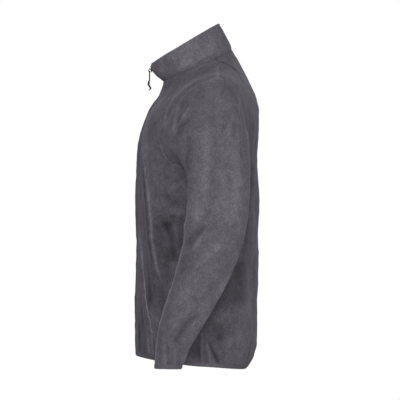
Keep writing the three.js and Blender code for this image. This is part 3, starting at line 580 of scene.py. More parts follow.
def panel(name, edge, mirrored, whole_back, paint):
    rows = len(row_levels)
    if whole_back:
        length = 2 * quarter_length(row_levels, False)
        widths = (1 - edge) * length * 2
    else:
        length = 2 * quarter_length(row_levels, True)
        widths = edge * length - front_edge_x
    standard = steps_between(0, np.median(widths), step=back_step if whole_back else mesh_step)
    count = len(standard) - 2 * (len(edge_steps) - 1)
    distance = np.empty((rows, len(standard)))
    for row, width in enumerate(widths):
        inner = np.linspace(edge_steps[-1], width - edge_steps[-1], count)
        distance[row] = np.concatenate([edge_steps[:-1], inner, width - edge_steps[-2::-1]])
    across = distance / widths[:, None]
    if whole_back:
        share = edge[:, None] + distance / length[:, None]
        towards_end = np.abs(2 * across - 1)
        to_seam = np.minimum(distance, widths[:, None] - distance)
    else:
        share = (front_edge_x + distance) / length[:, None]
        towards_end = across
        to_seam = widths[:, None] - distance
    at = row_levels[:, None] + (row_end_levels - row_levels)[:, None] * towards_end**2
    if mirrored:
        share = -share
    points = trunk_surface(at, share)
    out = away_from(points, grid_out(points), trunk_inside(points))
    high = seam_fall(to_seam) + seam_fall(neck_at - at, 0.6, 0.2)
    slit = bell(to_seam, slit_width) * eased(at, *slit_starts) * (1 - eased(at, *slit_ends))
    high -= slit_depth * slit
    if not whole_back:
        pucker = 0.22 * uneven(points, 15, 11) * bell(distance - 8, 7)
        high += turned_edge(distance, 0.55) + pucker
    low = -fleece_wall + 0.5 * bell(to_seam, 1.2)
    # Painted light and shade: the trunk table's strokes, lighter ridges and darker troughs of the creases, a
    # painted highlight along the armhole seam, painted light in the armpit's shade, painted shade along the
    # neck seam and in the slit, and painted highlights along the zip edge's fold and beside its stitching
    # with painted shade in the stitching's dip.
    painted_light_and_tone = trunk_lift(trunk_painted_light, points, out) + 0.05 * trunk_lift(trunk_creases, points, out)
    painted_light_and_tone += seam_painted_highlight * bell(to_seam - 1.0, 2.0) * eased(at, 470, 560)
    armpit = eased(at, underarm_at, underarm_at + 15) * (1 - eased(at, underarm_at + 75, underarm_at + 125))
    painted_light_and_tone += armpit_painted_light * bell(to_seam, 6) * armpit
    painted_light_and_tone -= 0.05 * bell(neck_at - at, 3.0)
    painted_light_and_tone -= 0.9 * slit
    if not whole_back:
        painted_light_and_tone += 0.5 * bell(distance, 2.4) - 0.25 * bell(distance - 9, 2.4)
        painted_light_and_tone += 0.3 * bell(distance - 14, 2.2)
    return cloth_wall(name, points, out, high, low, paint, painted_light_and_tone=painted_light_and_tone)


# Brushed fleece: a soft pile whose faint sheen and painted highlights make its edges look lighter, lying in
# cloudy patches with short tufts. Its base colour is scaled by the painted light and shade that each cloth
# piece carries.
def new_paint(name, base, rough, specular=0.25, sheen=0.0, sheen_rough=0.5, metal=0.0):
    paint = bpy.data.materials.new(name)
    paint.use_nodes = True
    shader = paint.node_tree.nodes["Principled BSDF"]
    shader.inputs["Base Color"].default_value = (*base, 1)
    shader.inputs["Roughness"].default_value = rough
    shader.inputs["Specular IOR Level"].default_value = specular
    shader.inputs["Metallic"].default_value = metal
    shader.inputs["Sheen Weight"].default_value = sheen
    shader.inputs["Sheen Roughness"].default_value = sheen_rough
    shader.inputs["Sheen Tint"].default_value = (0.88, 0.83, 1.0, 1)
    return paint, paint.node_tree.nodes, paint.node_tree.links, shader


def noise(nodes, links, source, scale, detail, roughness, distortion=0.0):
    field = nodes.new("ShaderNodeTexNoise")
    field.inputs["Scale"].default_value = scale
    field.inputs["Detail"].default_value = detail
    field.inputs["Roughness"].default_value = roughness
    field.inputs["Distortion"].default_value = distortion
    links.new(source, field.inputs["Vector"])
    return field.outputs["Fac"]


def ramp(nodes, links, source, stops):
    band = nodes.new("ShaderNodeValToRGB")
    for stop in stops[2:]:
        band.color_ramp.elements.new(stop[0])
    for element, (place, colour) in zip(band.color_ramp.elements, sorted(stops)):
        element.position = place
        element.color = (*colour, 1)
    links.new(source, band.inputs["Fac"])
    return band.outputs["Color"]


def blend_colours(nodes, links, kind, first, second, amount):
    mixer = nodes.new("ShaderNodeMix")
    mixer.data_type = "RGBA"
    mixer.blend_type = kind
    mixer.inputs["Factor"].default_value = amount
    links.new(first, mixer.inputs["A"])
    links.new(second, mixer.inputs["B"])
    return mixer.outputs["Result"]


def add_bump(nodes, links, shader, height, distance, strength, under=None):
    bump = nodes.new("ShaderNodeBump")
    bump.inputs["Distance"].default_value = distance
    bump.inputs["Strength"].default_value = strength
    links.new(height, bump.inputs["Height"])
    if under is not None:
        links.new(under, bump.inputs["Normal"])
    links.new(bump.outputs["Normal"], shader.inputs["Normal"])
    return bump.outputs["Normal"]


fleece, nodes, links, shader = new_paint(
    "charcoal_fleece", (0.11, 0.103, 0.122), 0.95, specular=0.08, sheen=0.115, sheen_rough=0.5
)
place = nodes.new("ShaderNodeTexCoord").outputs["Object"]
cloudy = noise(nodes, links, place, 26, 3, 0.55, 0.4)
brushed = noise(nodes, links, place, 82, 4, 0.62, 0.8)
tufts = noise(nodes, links, place, 390, 4, 0.75)
clouds = ramp(nodes, links, cloudy, ((0.32, (0.106, 0.1, 0.117)), (0.68, (0.138, 0.13, 0.151))))
streaks = ramp(nodes, links, brushed, ((0.34, (0.73, 0.73, 0.73)), (0.66, (1.0, 1.0, 1.0))))
grains = ramp(nodes, links, tufts, ((0.37, (0.58, 0.58, 0.58)), (0.63, (1.0, 1.0, 1.0))))
shade = blend_colours(nodes, links, "MULTIPLY", clouds, streaks, 1.0)
shade = blend_colours(nodes, links, "MULTIPLY", shade, grains, 1.0)
# Painted light and shade: the tone stored on the cloth's points lightens or darkens the base colour, standing
# in for light on ridges and shade in creases.
painted_light_attribute = nodes.new("ShaderNodeAttribute")
painted_light_attribute.attribute_name = "painted_light_and_tone"
painted_light_gain = nodes.new("ShaderNodeMath")
painted_light_gain.inputs[1].default_value = 1.0
links.new(painted_light_attribute.outputs["Fac"], painted_light_gain.inputs[0])
toned = nodes.new("ShaderNodeVectorMath")
toned.operation = "SCALE"
links.new(shade, toned.inputs[0])
links.new(painted_light_gain.outputs[0], toned.inputs["Scale"])
links.new(toned.outputs[0], shader.inputs["Base Color"])
pile = add_bump(nodes, links, shader, brushed, 0.0012, 0.35)
add_bump(nodes, links, shader, tufts, 0.0008, 0.5, under=pile)

front_edge = panel_edge(False)
back_edge = panel_edge(True)
front_left = panel("fleece_front_left", front_edge, False, False, fleece)
front_right = panel("fleece_front_right", front_edge, True, False, fleece)
back = panel("fleece_back", back_edge, False, True, fleece)
for piece, node, flat, area in (
    (front_left, "front_left", (0.31, 0.78), 0.176),
    (front_right, "front_right", (0.31, 0.78), 0.176),
    (back, "back", (0.58, 0.80), 0.34),
):
    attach(piece, "garment")
    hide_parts(node)


# Sleeves: set-in tubes of the same fleece, cut from one piece each and closed by a seam along the inside of
# the arm. The head is sewn round the armhole with a little ease, so it stands off the seam and falls in
# soft vertical folds.
sleeve_square = 2.25
head_length = 170.0
cuff_at = 412.0
head_pull = 0.85
# Painted highlight along the front edge of each sleeve, a light rim where the arm's outline turns away.
rim_painted_highlight = 0.75
armpit_opening = 60.0
shoulder_opening = 24.0
sleeve_columns = ("at", "x", "y", "z", "half_depth", "half_width", "lean")
sleeve_rings = (
    (0, 273, 46, -262, 68, 54, 0),
    (68, 281, 41, -328, 66, 56, 4),
    (122, 286, 33, -380, 65, 56, 12),
    (168, 290, 20, -424, 61, 54, 19),
    (220, 292, 1, -472, 55, 51, 22),
    (280, 293, -22, -526, 49, 47, 23),
    (333, 292, -43, -575, 43, 42, 21),
    (375, 291, -55, -613, 37, 37, 14),
    (398, 290, -60, -635, 33.5, 34, 7),
    (412, 290, -63, -648.5, 30.5, 31, 3),
    (422, 290, -64, -658.5, 28.5, 29, 1),
)
sleeve_folds = (
    (((-30, -396), (-5, -362), (30, -338)), 18, -6, 0.9),
    (((20, -452), (60, -427), (92, -392)), 20, -4, 1.0),
    (((-46, -590), (-27, -558), (4, -536)), 16, -5, 0.9),
    (((37, -170), (38.5, -235), (34, -300)), 18, -3, 1.1),
    (((-36, -62), (-49, -106), (-52, -152)), 16, -4, 1.0),
)
sleeve_creases = (
    (((-30, -62), (-43, -86), (-48, -112), (-54, -141), (-52, -160)), 3.6, 2.4, 0.9),
    (((-36, -84), (-42, -112), (-46, -142)), 4.5, -2.2, 1.0),
    (((-22, -102), (-40, -128), (-49, -141)), 4.0, 2.2, 1.1),
    (((-16, -112), (-32, -136), (-40, -156)), 5.5, -2.0, 0.9),
    (((15, -130), (18, -220), (12, -310)), 11, 2.2, 0.8),
    (((60, -120), (66, -220), (58, -320)), 13, -2.2, 1.1),
    (((84, -150), (88, -230), (80, -310)), 10, 2.0, 0.9),
    (((-26, -404), (-4, -372), (20, -351)), 5.5, -2.8, 0.9),
    (((-22, -384), (2, -354), (30, -336)), 6.5, 2.6, 1.0),
    (((10, -424), (40, -402), (66, -376)), 8, 2.2, 0.8),
    (((44, -470), (24, -500), (-4, -520)), 9, -2.2, 1.1),
    (((-49, -600), (-36, -574), (-20, -557), (2, -545)), 6, -2.2, 1.0),
    (((-64, -580), (-46, -556), (-24, -538)), 7, 2.0, 0.9),
    (((-74, -606), (-72, -630), (-71, -650)), 4.5, 1.8, 1.0),
    (((-64, -612), (-63, -632), (-62, -650)), 4.5, -1.8, 0.9),
    (((-46, -604), (-50, -628), (-51, -650)), 5.5, 1.7, 1.1),
    (((-32, -600), (-38, -626), (-41, -650)), 5.0, -1.7, 0.8),
    (((-84, -600), (-86, -622), (-83, -646)), 5.0, -1.4, 1.0),
    (((100, -96), (110, -118), (112, -150)), 8, -2.4, 0.9),
    (((78, -130), (79, -148), (77, -164)), 5, -1.4, 0.9),
)
sleeve_inner_creases = (
    (((-20, -300), (20, -330), (70, -340)), 9, -2.6, 0.9),
    (((-30, -350), (10, -372), (60, -380)), 8, 2.4, 1.1),
    (((-34, -390), (0, -410), (50, -420)), 9, -2.8, 0.9),
    (((10, -470), (-20, -500), (-50, -510)), 8, -2.0, 1.0),
    (((-50, -590), (-54, -620), (-56, -646)), 6, -1.8, 0.9),
    (((-70, -596), (-74, -624), (-72, -648)), 6, 1.6, 1.1),
)
# Painted light and shade on the sleeves: lines painted lighter where ridges and the seam would catch light
# and darker in creases and in the shade between the arm and the body; the same columns as the sleeve's folds,
# with a tone change in place of a height.
sleeve_painted_light = (
    (((-33, -64), (-43, -78), (-47, -106), (-53, -125), (-52, -146)), 2.6, 0.34, 0.9),
    (((-40, -76), (-44, -100), (-48, -122)), 4.0, -0.14, 1.0),
    (((-19, -96), (-36, -119), (-47, -132), (-49, -150)), 3.2, 0.26, 1.0),
    (((-24, -88), (-38, -108), (-46, -122)), 4.5, -0.14, 1.0),
    (((-30, -124), (-42, -142), (-46, -170)), 6.0, -0.16, 1.0),
    (((14, -347), (-12, -373), (-26, -392)), 8.0, -0.42, 0.9),
    (((-24, -408), (-4, -386), (8, -374)), 6.5, 0.3, 1.0),
    (((-17, -158), (-21, -195), (-24, -240)), 7.0, -0.3, 1.0),
    (((-22, -280), (-10, -310), (4, -335)), 16.0, 0.2, 0.9),
    (((96, -400), (68, -471), (48, -515), (26, -554), (4, -590), (-30, -648)), 11.0, 0.4, 1.0),
    (((70, -320), (90, -350), (96, -380)), 16.0, 0.14, 1.0),
    (((60, -130), (66, -210), (62, -320)), 20.0, 0.14, 1.0),
    (((-66, -520), (-40, -512), (-16, -505)), 16.0, 0.12, 1.0),
    (((0, -70), (20, -82), (40, -84)), 16.0, -0.12, 1.0),
    (((-64, -178), (-50, -204)), 10.0, 0.25, 1.0),
    (((-34, -96), (-30, -124)), 9.0, 0.14, 1.0),
    (((14, -540), (34, -516), (58, -480), (68, -455)), 12.0, 0.3, 1.0),
    (((-2, -600), (10, -572), (24, -545)), 9.0, 0.18, 1.0),
    (((-24, -640), (-8, -610)), 8.0, 0.2, 1.0),
    (((40, -412), (66, -398), (84, -380)), 14.0, 0.14, 1.0),
    (((92, -230), (100, -330), (104, -400)), 14.0, 0.12, 1.0),
    (((-14, -396), (4, -376), (18, -356)), 6.0, 0.2, 1.0),
    (((-34, -450), (-28, -420), (-10, -400)), 9.0, -0.16, 1.0),
    (((-4, -264), (-4, -330)), 6.0, 0.22, 1.0),
    (((68, -250), (72, -280)), 10.0, -0.18, 1.0),
    (((-56, -590), (-60, -560)), 8.0, -0.2, 1.0),
    (((-8, -40), (16, -38), (34, -40)), 7.0, 0.12, 1.0),
    (((0, -540), (-22, -561), (-36, -578), (-47, -598), (-48, -616)), 6.0, -0.24, 1.0),
    (((10, -552), (-12, -574), (-30, -596), (-34, -620)), 7.0, 0.1, 1.0),
    (((15, -120), (18, -220), (12, -320)), 9.0, 0.07, 0.9),
    (((36, -110), (37, -220), (30, -320)), 9.0, -0.06, 1.0),
    (((76, -130), (79, -160)), 6.0, -0.12, 1.0),
    (((108, -100), (112, -130)), 7.0, -0.18, 1.0),
    (((-76, -600), (-74, -630), (-72, -655)), 3.6, 0.14, 1.0),
    (((-64, -604), (-64, -630), (-62, -655)), 3.6, -0.12, 1.0),
    (((-46, -610), (-50, -655)), 4.0, 0.08, 1.0),
    (((20, -440), (-10, -480), (-40, -560)), 16.0, 0.05, 1.0),
)
sleeve = smooth_tracks(sleeve_columns, sleeve_rings)


def signed_power(value, exponent):
    return np.sign(value) * np.abs(value) ** exponent


# Turn 0 is the underarm and the inside of the arm, and the front comes first.
def tube_point(at, turn):
    at, turn = np.broadcast_arrays(np.asarray(at, float), np.asarray(turn, float))
    lean = np.radians(sleeve["lean"](at))
    width = -sleeve["half_width"](at) * signed_power(np.cos(turn * 2 * math.pi), 2 / sleeve_square)
    depth = -sleeve["half_depth"](at) * signed_power(np.sin(turn * 2 * math.pi), 2 / sleeve_square)
    return np.stack(
        [
            sleeve["x"](at) + width,
            sleeve["y"](at) + depth * np.cos(lean),
            sleeve["z"](at) - depth * np.sin(lean),
        ],
        axis=-1,
    )


# The armhole's edge with the cloth's outward direction and its way on into the hole, seen as on the
# wearer's left.
def armhole_edge(turn, side):
    near = []
    for shift in (-0.004, 0, 0.004):
        at, share = armhole_place(turn + shift)
        near.append(trunk_surface(at, share * side) * (side, 1, 1))
    at, share = armhole_place(turn)
    out = -surface_out(trunk_surface, at, share * side, 3.0, 0.008) * (side, 1, 1)
    along = unit(near[2] - near[0])
    return near[1], out, unit(np.cross(along, out))


seam_overlap = 1.0


def sleeve_base(levels, turn, side):
    points = tube_point(levels[:, None], turn[None, :])
    head = levels < 0
    edge, out, into = armhole_edge(turn, side)
    start = edge - into * seam_overlap - out * 0.3
    end = tube_point(0.0, turn)
    reach = np.linalg.norm(start - end, axis=-1, keepdims=True) * head_pull
    low = (1 + np.cos(turn * 2 * math.pi)) / 2
    opening = np.radians(armpit_opening * low + shoulder_opening * (1 - low))[:, None]
    leave = into * np.cos(opening) + out * np.sin(opening)
    t = np.maximum(1 + levels[head] / head_length, 0)[:, None, None]
    points[head] = (
        start * (1 + 2 * t) * (1 - t) ** 2
        + leave * t * (1 - t) ** 2 * reach
        + end * t * t * (3 - 2 * t)
        + np.array([0, 0, 1.0]) * t * t * (1 - t) * reach
    )
    return points


def line_lift(folds, base, side):
    total = np.zeros(base.shape[:-1])
    for line, width, height, other in folds:
        total += fold_height(line, width, height, base[..., 1], base[..., 2]) * (1 if side > 0 else other)
    return total


def sleeve_grid(levels, turn, side):
    base = sleeve_base(levels, turn, side)
    inside = base.mean(axis=1, keepdims=True)
    out = away_from(base, grid_out(base, closed=True), inside)
    outer = eased(-np.cos(turn * 2 * math.pi), -0.25, 0.45)[None, :]
    at = levels[:, None]
    from_seam = eased(at, -head_length, -head_length * 0.75)
    to_cuff = 1 - eased(at, cuff_at - 35, cuff_at)
    lift = line_lift(sleeve_folds, base, side) * outer * from_seam * to_cuff
    near_seam = eased(at, -head_length, -head_length * 0.93)
    lift += line_lift(sleeve_creases, base, side) * outer * near_seam
    lift += line_lift(sleeve_inner_creases, base, side) * (1 - outer) * eased(at, -40, 10)
    lift += (0.75 * uneven(base, 90, 7) + 0.3 * uneven(base, 32, 9)) * near_seam
    points = base + out * lift[..., None]
    # Painted light and shade: the sleeve table's strokes, lighter ridges and darker troughs of the creases,
    # and a painted highlight along the arm's front edge.
    painted_light_and_tone = line_lift(sleeve_painted_light, base, side) * outer + 0.05 * line_lift(sleeve_creases, base, side) * outer
    front_gap = base[..., 1] - base[..., 1].min(axis=1, keepdims=True)
    painted_light_and_tone += rim_painted_highlight * bell(front_gap, 2.4) * eased(at, 10, 90)
    return points, away_from(points, grid_out(points, closed=True), inside), painted_light_and_tone


sleeve_turns = np.arange(2 * armhole_cells) / (2 * armhole_cells)
sleeve_levels = np.concatenate([
    steps_between(-head_length, 0, last_edge=False)[:-1],
    steps_between(0, cuff_at, first_edge=False),
])
for side, word in ((1, "left"), (-1, "right")):
    points, out, painted_light_and_tone = sleeve_grid(sleeve_levels, sleeve_turns, side)
    run = way_along(points, 0)
    seam_side = np.minimum(sleeve_turns, 1 - sleeve_turns)[None, :] * 2 * math.pi * 50
    high = seam_fall(run) + seam_fall(run[-1] - run, 0.5, 0.3)
    high = high - 1.0 * bell(seam_side, 2.4) * eased(run, 4, 30)
    above = eased(-np.cos(sleeve_turns * 2 * math.pi), -0.3, 0.5)[None, :]
    # Painted highlight along the armhole seam on the sleeve's upper side, and painted light in the armpit's
    # shade.
    painted_light_and_tone = painted_light_and_tone + seam_painted_highlight * bell(run - 1.0, 2.0) * above
    painted_light_and_tone = painted_light_and_tone + armpit_painted_light * bell(run, 6) * (1 - above)
    piece = cloth_wall(
        f"fleece_sleeve_{word}",
        points * (side, 1, 1), out * (side, 1, 1), high, -fleece_wall, fleece,
        closed=True, painted_light_and_tone=painted_light_and_tone,
    )
    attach(piece, "garment")
    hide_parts(f"sleeve_{word}")


# Collar: one standing piece of fleece, doubled at its top edge, which is turned in and topstitched.
# It is sewn into the neck, leans forward with the wearer's neck and stands a little off it.
collar_edge_roll = 6.0
# Painted light: the whole collar is made lighter, as if more brightly lit than the body.
collar_painted_lightening = 0.2
collar_creases = (
    ("side", ((22, 14), (2, 0), (-18, -12)), 5, -2.4, 0.9),
    ("side", ((26, 26), (2, 12), (-24, -2)), 8, 2.0, 1.0),
    ("side", ((-40, 0), (-58, -6), (-78, -4)), 9, -1.8, 0.9),
    ("side", ((-30, 30), (-52, 16), (-70, 12)), 8, 1.2, 1.1),
    ("side", ((40, 76), (30, 56), (34, 36)), 9, 1.4, 0.8),
    ("side", ((56, 60), (60, 44), (66, 34)), 7, -1.2, 1.0),
    ("front", ((20, -10), (44, 2), (62, 22)), 10, -1.6, 1.0),
    ("back", ((14, 44), (18, 66), (16, 86)), 10, 1.4, 0.9),
    ("back", ((44, 40), (40, 60), (46, 80)), 9, -1.4, 1.1),
)
# Painted light and shade on the collar: lines painted lighter on its ridges and darker in its creases; the
# same columns as its folds, with a tone change in place of a height.
collar_painted_light = (
    ("side", ((20, 16), (0, 0), (-20, -14)), 4.0, -0.12, 1.0),
    ("side", ((26, 28), (4, 12), (-16, -2)), 5.0, 0.1, 1.0),
    ("side", ((-66, 17), (-54, 0), (-44, -20)), 9.0, -0.16, 1.0),
    ("side", ((-44, 10), (-14, 32), (16, 52)), 15.0, 0.1, 1.0),
    ("side", ((-38, 0), (-22, 4), (-12, 10)), 10.0, 0.3, 1.0),
    ("side", ((36, 58), (37, 34)), 10.0, 0.26, 1.0),
    ("side", ((34, 40), (52, 30)), 12.0, 0.14, 1.0),
    ("side", ((-84, 4), (-78, -4)), 6.0, -0.2, 1.0),
    ("side", ((-30, 40), (0, 60), (34, 80)), 7.0, 0.06, 1.0),
    ("side", ((10, 40), (24, 30), (40, 34)), 6.0, -0.08, 1.0),
    ("side", ((56, 80), (54, 60), (62, 44)), 8.0, -0.12, 1.0),
    ("side", ((40, 60), (44, 44), (40, 30)), 6.0, 0.06, 1.0),
    ("back", ((20, 50), (26, 70), (20, 88)), 8.0, -0.08, 1.0),
)


def collar_surface(at, share):
    at, share = np.broadcast_arrays(np.asarray(at, float), np.asarray(share, float))
    base = ring_point(at, share)
    out = -surface_out(ring_point, at, share, 4.0, 0.01)
    lift = trunk_lift(collar_creases, base, out) + 0.6 * uneven(base, 60, 13)
    return base + out * (lift * eased(at, neck_at, neck_at + 12))[..., None]


def way_round(at):
    front, back = quarter_length(at, True), quarter_length(at, False)
    to_side = steps_between(front_edge_x, front, last_edge=False) / (2 * front)
    to_back = 0.5 + steps_between(0, back, False, False)[1:] / (2 * back)
    half = np.concatenate([to_side, to_back])
    return np.concatenate([half, 2 - half[-2::-1]])


collar_levels = steps_between(neck_at, collar_top_at, step=3.0)
collar_shares = way_round(neck_at)
points = collar_surface(collar_levels[:, None], collar_shares[None, :])
out = away_from(points, grid_out(points), points.mean(axis=1, keepdims=True))
run = way_along(points, 0)
from_top = run[-1] - run
along = way_along(points, 1)
from_end = np.minimum(along, along[:, -1:] - along)
rolled = 0.5 * eased(collar_edge_roll + 1.5 - from_top, 0, 3) - 1.5 * bell(from_top, 1.5)
rolled -= 0.6 * bell(from_top - collar_edge_roll, 1.3)
rolled += 0.2 * uneven(points, 14, 15) * bell(from_top - 5, 5)
collar = cloth_wall(
    "fleece_collar", points, out,
    seam_fall(run, 0.8, 0.4) + rolled + turned_edge(from_end, 0.5),
    -fleece_wall - 0.3 * eased(9 - from_top, 0, 3) + 1.3 * bell(from_top, 1.5),
    fleece,
    # Painted light and shade on the collar: overall painted light, the collar table's strokes, painted shade
    # along the neck seam and painted highlights at the collar's front ends.
    painted_light_and_tone=(
        collar_painted_lightening
        + trunk_lift(collar_painted_light, points, out)
        - 0.05 * bell(run, 3.0)
        + 0.3 * bell(from_end, 2.4)
    ),
)
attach(collar, "garment")
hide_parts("collar")


# Bindings: knitted elastic about 9 mm wide, folded over the raw lower edge and the sleeve ends and sewn
# through. The elastic draws the edge in, so the band is finely gathered and rounded.
band_height = 9.0
band_overlap = 0.8
band_half_thick = 2.1
band_corner = 3.2
band_steps = 20
gather_pitch = 11.0


def bound_edge(name, top, bottom, out, paint, closed):
    middle = (top + bottom) / 2 - out * fleece_wall / 2
    down = (bottom - top) / 2
    step = np.linalg.norm(np.diff(middle, axis=0), axis=1)
    run = np.concatenate([[0], np.cumsum(step)])
    gather = 0.28 * np.sin(run * 2 * math.pi / gather_pitch + 1.5 * uneven(middle, 60, 17))
    gather = gather + 0.2 * uneven(middle, 9, 19)
    turn = np.arange(band_steps) * 2 * math.pi / band_steps
    across = signed_power(np.cos(turn), 2 / band_corner)[:, None]
    outward = signed_power(np.sin(turn), 2 / band_corner)[:, None]
    thick = band_half_thick + gather[None, :]
    groove = 0.35 * bell(across + 0.62, 0.16)
    rings = (
        middle[None] + down[None] * across[..., None]
        + out[None] * ((thick - groove) * outward)[..., None]
    )
    count = rings.shape[1]
    ids = np.arange(band_steps * count).reshape(band_steps, count)
    ids = np.concatenate([ids, ids[:1]])
    if closed:
        ids = np.concatenate([ids, ids[:, :1]], axis=1)
    faces = quads(ids[:-1, :-1], ids[:-1, 1:], ids[1:, 1:], ids[1:, :-1])
    corners = rings.reshape(-1, 3)
    if not closed:
        caps = []
        for end, order in ((0, 1), (-1, -1)):
            centre = rings[:, end].mean(axis=0)
            centre_id = len(corners)
            corners = np.concatenate([corners, [centre]])
            ring = ids[:, end][::order]
            caps += [(centre_id, ring[i], ring[i + 1], ring[i + 2]) for i in range(0, band_steps, 2)]
        faces = np.concatenate([faces, np.array(caps)])
    return solid_piece(name, corners, faces, paint)


elastic, nodes, links, shader = new_paint(
    "grey_elastic", (0.09, 0.086, 0.1), 0.72, specular=0.12, sheen=0.1, sheen_rough=0.5
)
place = nodes.new("ShaderNodeTexCoord").outputs["Object"]
ribs = nodes.new("ShaderNodeTexWave")
ribs.wave_type = "BANDS"
ribs.bands_direction = "Z"
ribs.inputs["Scale"].default_value = 210
ribs.inputs["Distortion"].default_value = 1.4
ribs.inputs["Detail"].default_value = 2
links.new(place, ribs.inputs["Vector"])
knit = noise(nodes, links, place, 900, 2, 0.6)
tone = ramp(nodes, links, ribs.outputs["Fac"], ((0.2, (0.074, 0.07, 0.082)), (0.8, (0.118, 0.112, 0.128))))
flecks = ramp(nodes, links, knit, ((0.3, (0.8, 0.8, 0.8)), (0.7, (1, 1, 1))))
links.new(blend_colours(nodes, links, "MULTIPLY", tone, flecks, 1.0), shader.inputs["Base Color"])
knitted = add_bump(nodes, links, shader, ribs.outputs["Fac"], 0.0005, 0.6)
add_bump(nodes, links, shader, knit, 0.0003, 0.5, under=knitted)

hem_shares = way_round(0.0)
top = trunk_surface(band_overlap, hem_shares)
bottom = trunk_surface(-band_height, hem_shares)
out = -surface_out(trunk_surface, -band_height / 2, hem_shares, 3.0, 0.008)
hem_binding = bound_edge("hem_binding", top, bottom, out, elastic, closed=False)
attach(hem_binding, "garment")
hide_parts("hem_band")

for side, word in ((1, "left"), (-1, "right")):
    levels = np.array([cuff_at - 4.0, cuff_at - band_overlap, cuff_at + band_height, cuff_at + 12.0])
    points, out, _ = sleeve_grid(levels, sleeve_turns, side)
    turned_out = unit(out[1] + out[2]) * (side, 1, 1)
    binding = bound_edge(
        f"cuff_binding_{word}",
        points[1] * (side, 1, 1), points[2] * (side, 1, 1), turned_out, elastic,
        closed=True,
    )
    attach(binding, "garment")
    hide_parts(f"cuff_band_{word}")


# Zip tapes: woven polyester, sewn behind the turned edges of the fronts and the collar's ends.
# They run from the lower binding to the top of the collar, and a strip of each shows beside the teeth.
tape_wall = 1.2
tape_columns = np.array([2.9, 4.2, 5.6, 7.0, 10.0, 13.0, 16.0])
zip_levels = np.arange(-band_height, collar_top_at + 0.01, 3.4)


def near_zip(at, x):
    at, x = np.broadcast_arrays(np.asarray(at, float), np.asarray(x, float))
    share = x / (2 * quarter_length(at, True))
    low = trunk_surface(at, share)
    high = collar_surface(np.maximum(at, neck_at), share)
    return np.where((at > neck_at)[..., None], high, low)


tape_weave, nodes, links, shader = new_paint(
    "woven_tape", (0.07, 0.067, 0.078), 0.7, specular=0.3, sheen=0.15, sheen_rough=0.4
)
place = nodes.new("ShaderNodeTexCoord").outputs["Object"]
ribs = nodes.new("ShaderNodeTexWave")
ribs.bands_direction = "X"
ribs.inputs["Scale"].default_value = 260
ribs.inputs["Distortion"].default_value = 0.6
links.new(place, ribs.inputs["Vector"])
picks = nodes.new("ShaderNodeTexWave")
picks.bands_direction = "Z"
picks.inputs["Scale"].default_value = 330
picks.inputs["Distortion"].default_value = 0.8
links.new(place, picks.inputs["Vector"])
tone = ramp(nodes, links, ribs.outputs["Fac"], ((0.2, (0.056, 0.053, 0.062)), (0.8, (0.09, 0.086, 0.098))))
cross = ramp(nodes, links, picks.outputs["Fac"], ((0.2, (0.8, 0.8, 0.8)), (0.8, (1, 1, 1))))
links.new(blend_colours(nodes, links, "MULTIPLY", tone, cross, 1.0), shader.inputs["Base Color"])
woven = add_bump(nodes, links, shader, ribs.outputs["Fac"], 0.0003, 0.5)
add_bump(nodes, links, shader, picks.outputs["Fac"], 0.0003, 0.5, under=woven)

for side, word in ((1, "left"), (-1, "right")):
    points = near_zip(zip_levels[:, None], side * tape_columns[None, :])
    out = away_from(points, grid_out(points), trunk_inside(points))
    depth = -fleece_wall - 0.9
    tape = cloth_wall(f"zip_tape_woven_{word}", points, out, depth, depth - tape_wall, tape_weave)
    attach(tape, "garment")
    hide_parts(f"zip_tape_{word}")


# Zip chain: two rows of nylon coil, meshed down the middle of the tapes, with a moulded box at the foot.
# Each turn of coil is a short rounded rung, and the rows sit half a pitch apart.
slider_at = 817.0
slider_length = 11.0
coil_pitch = 1.35
coil_rung = (3.0, 1.15, 1.5)
coil_offset = 1.2
coil_sink = -1.9
box_length = 12.0
box_width = 10.0

coil_plastic, nodes, links, shader = new_paint("zip_coil_nylon", (0.045, 0.043, 0.05), 0.42, specular=0.4)
place = nodes.new("ShaderNodeTexCoord").outputs["Object"]
grain = noise(nodes, links, place, 700, 3, 0.6)
tone = ramp(nodes, links, grain, ((0.3, (0.036, 0.034, 0.04)), (0.7, (0.06, 0.057, 0.066))))
links.new(tone, shader.inputs["Base Color"])
add_bump(nodes, links, shader, grain, 0.0001, 0.4)


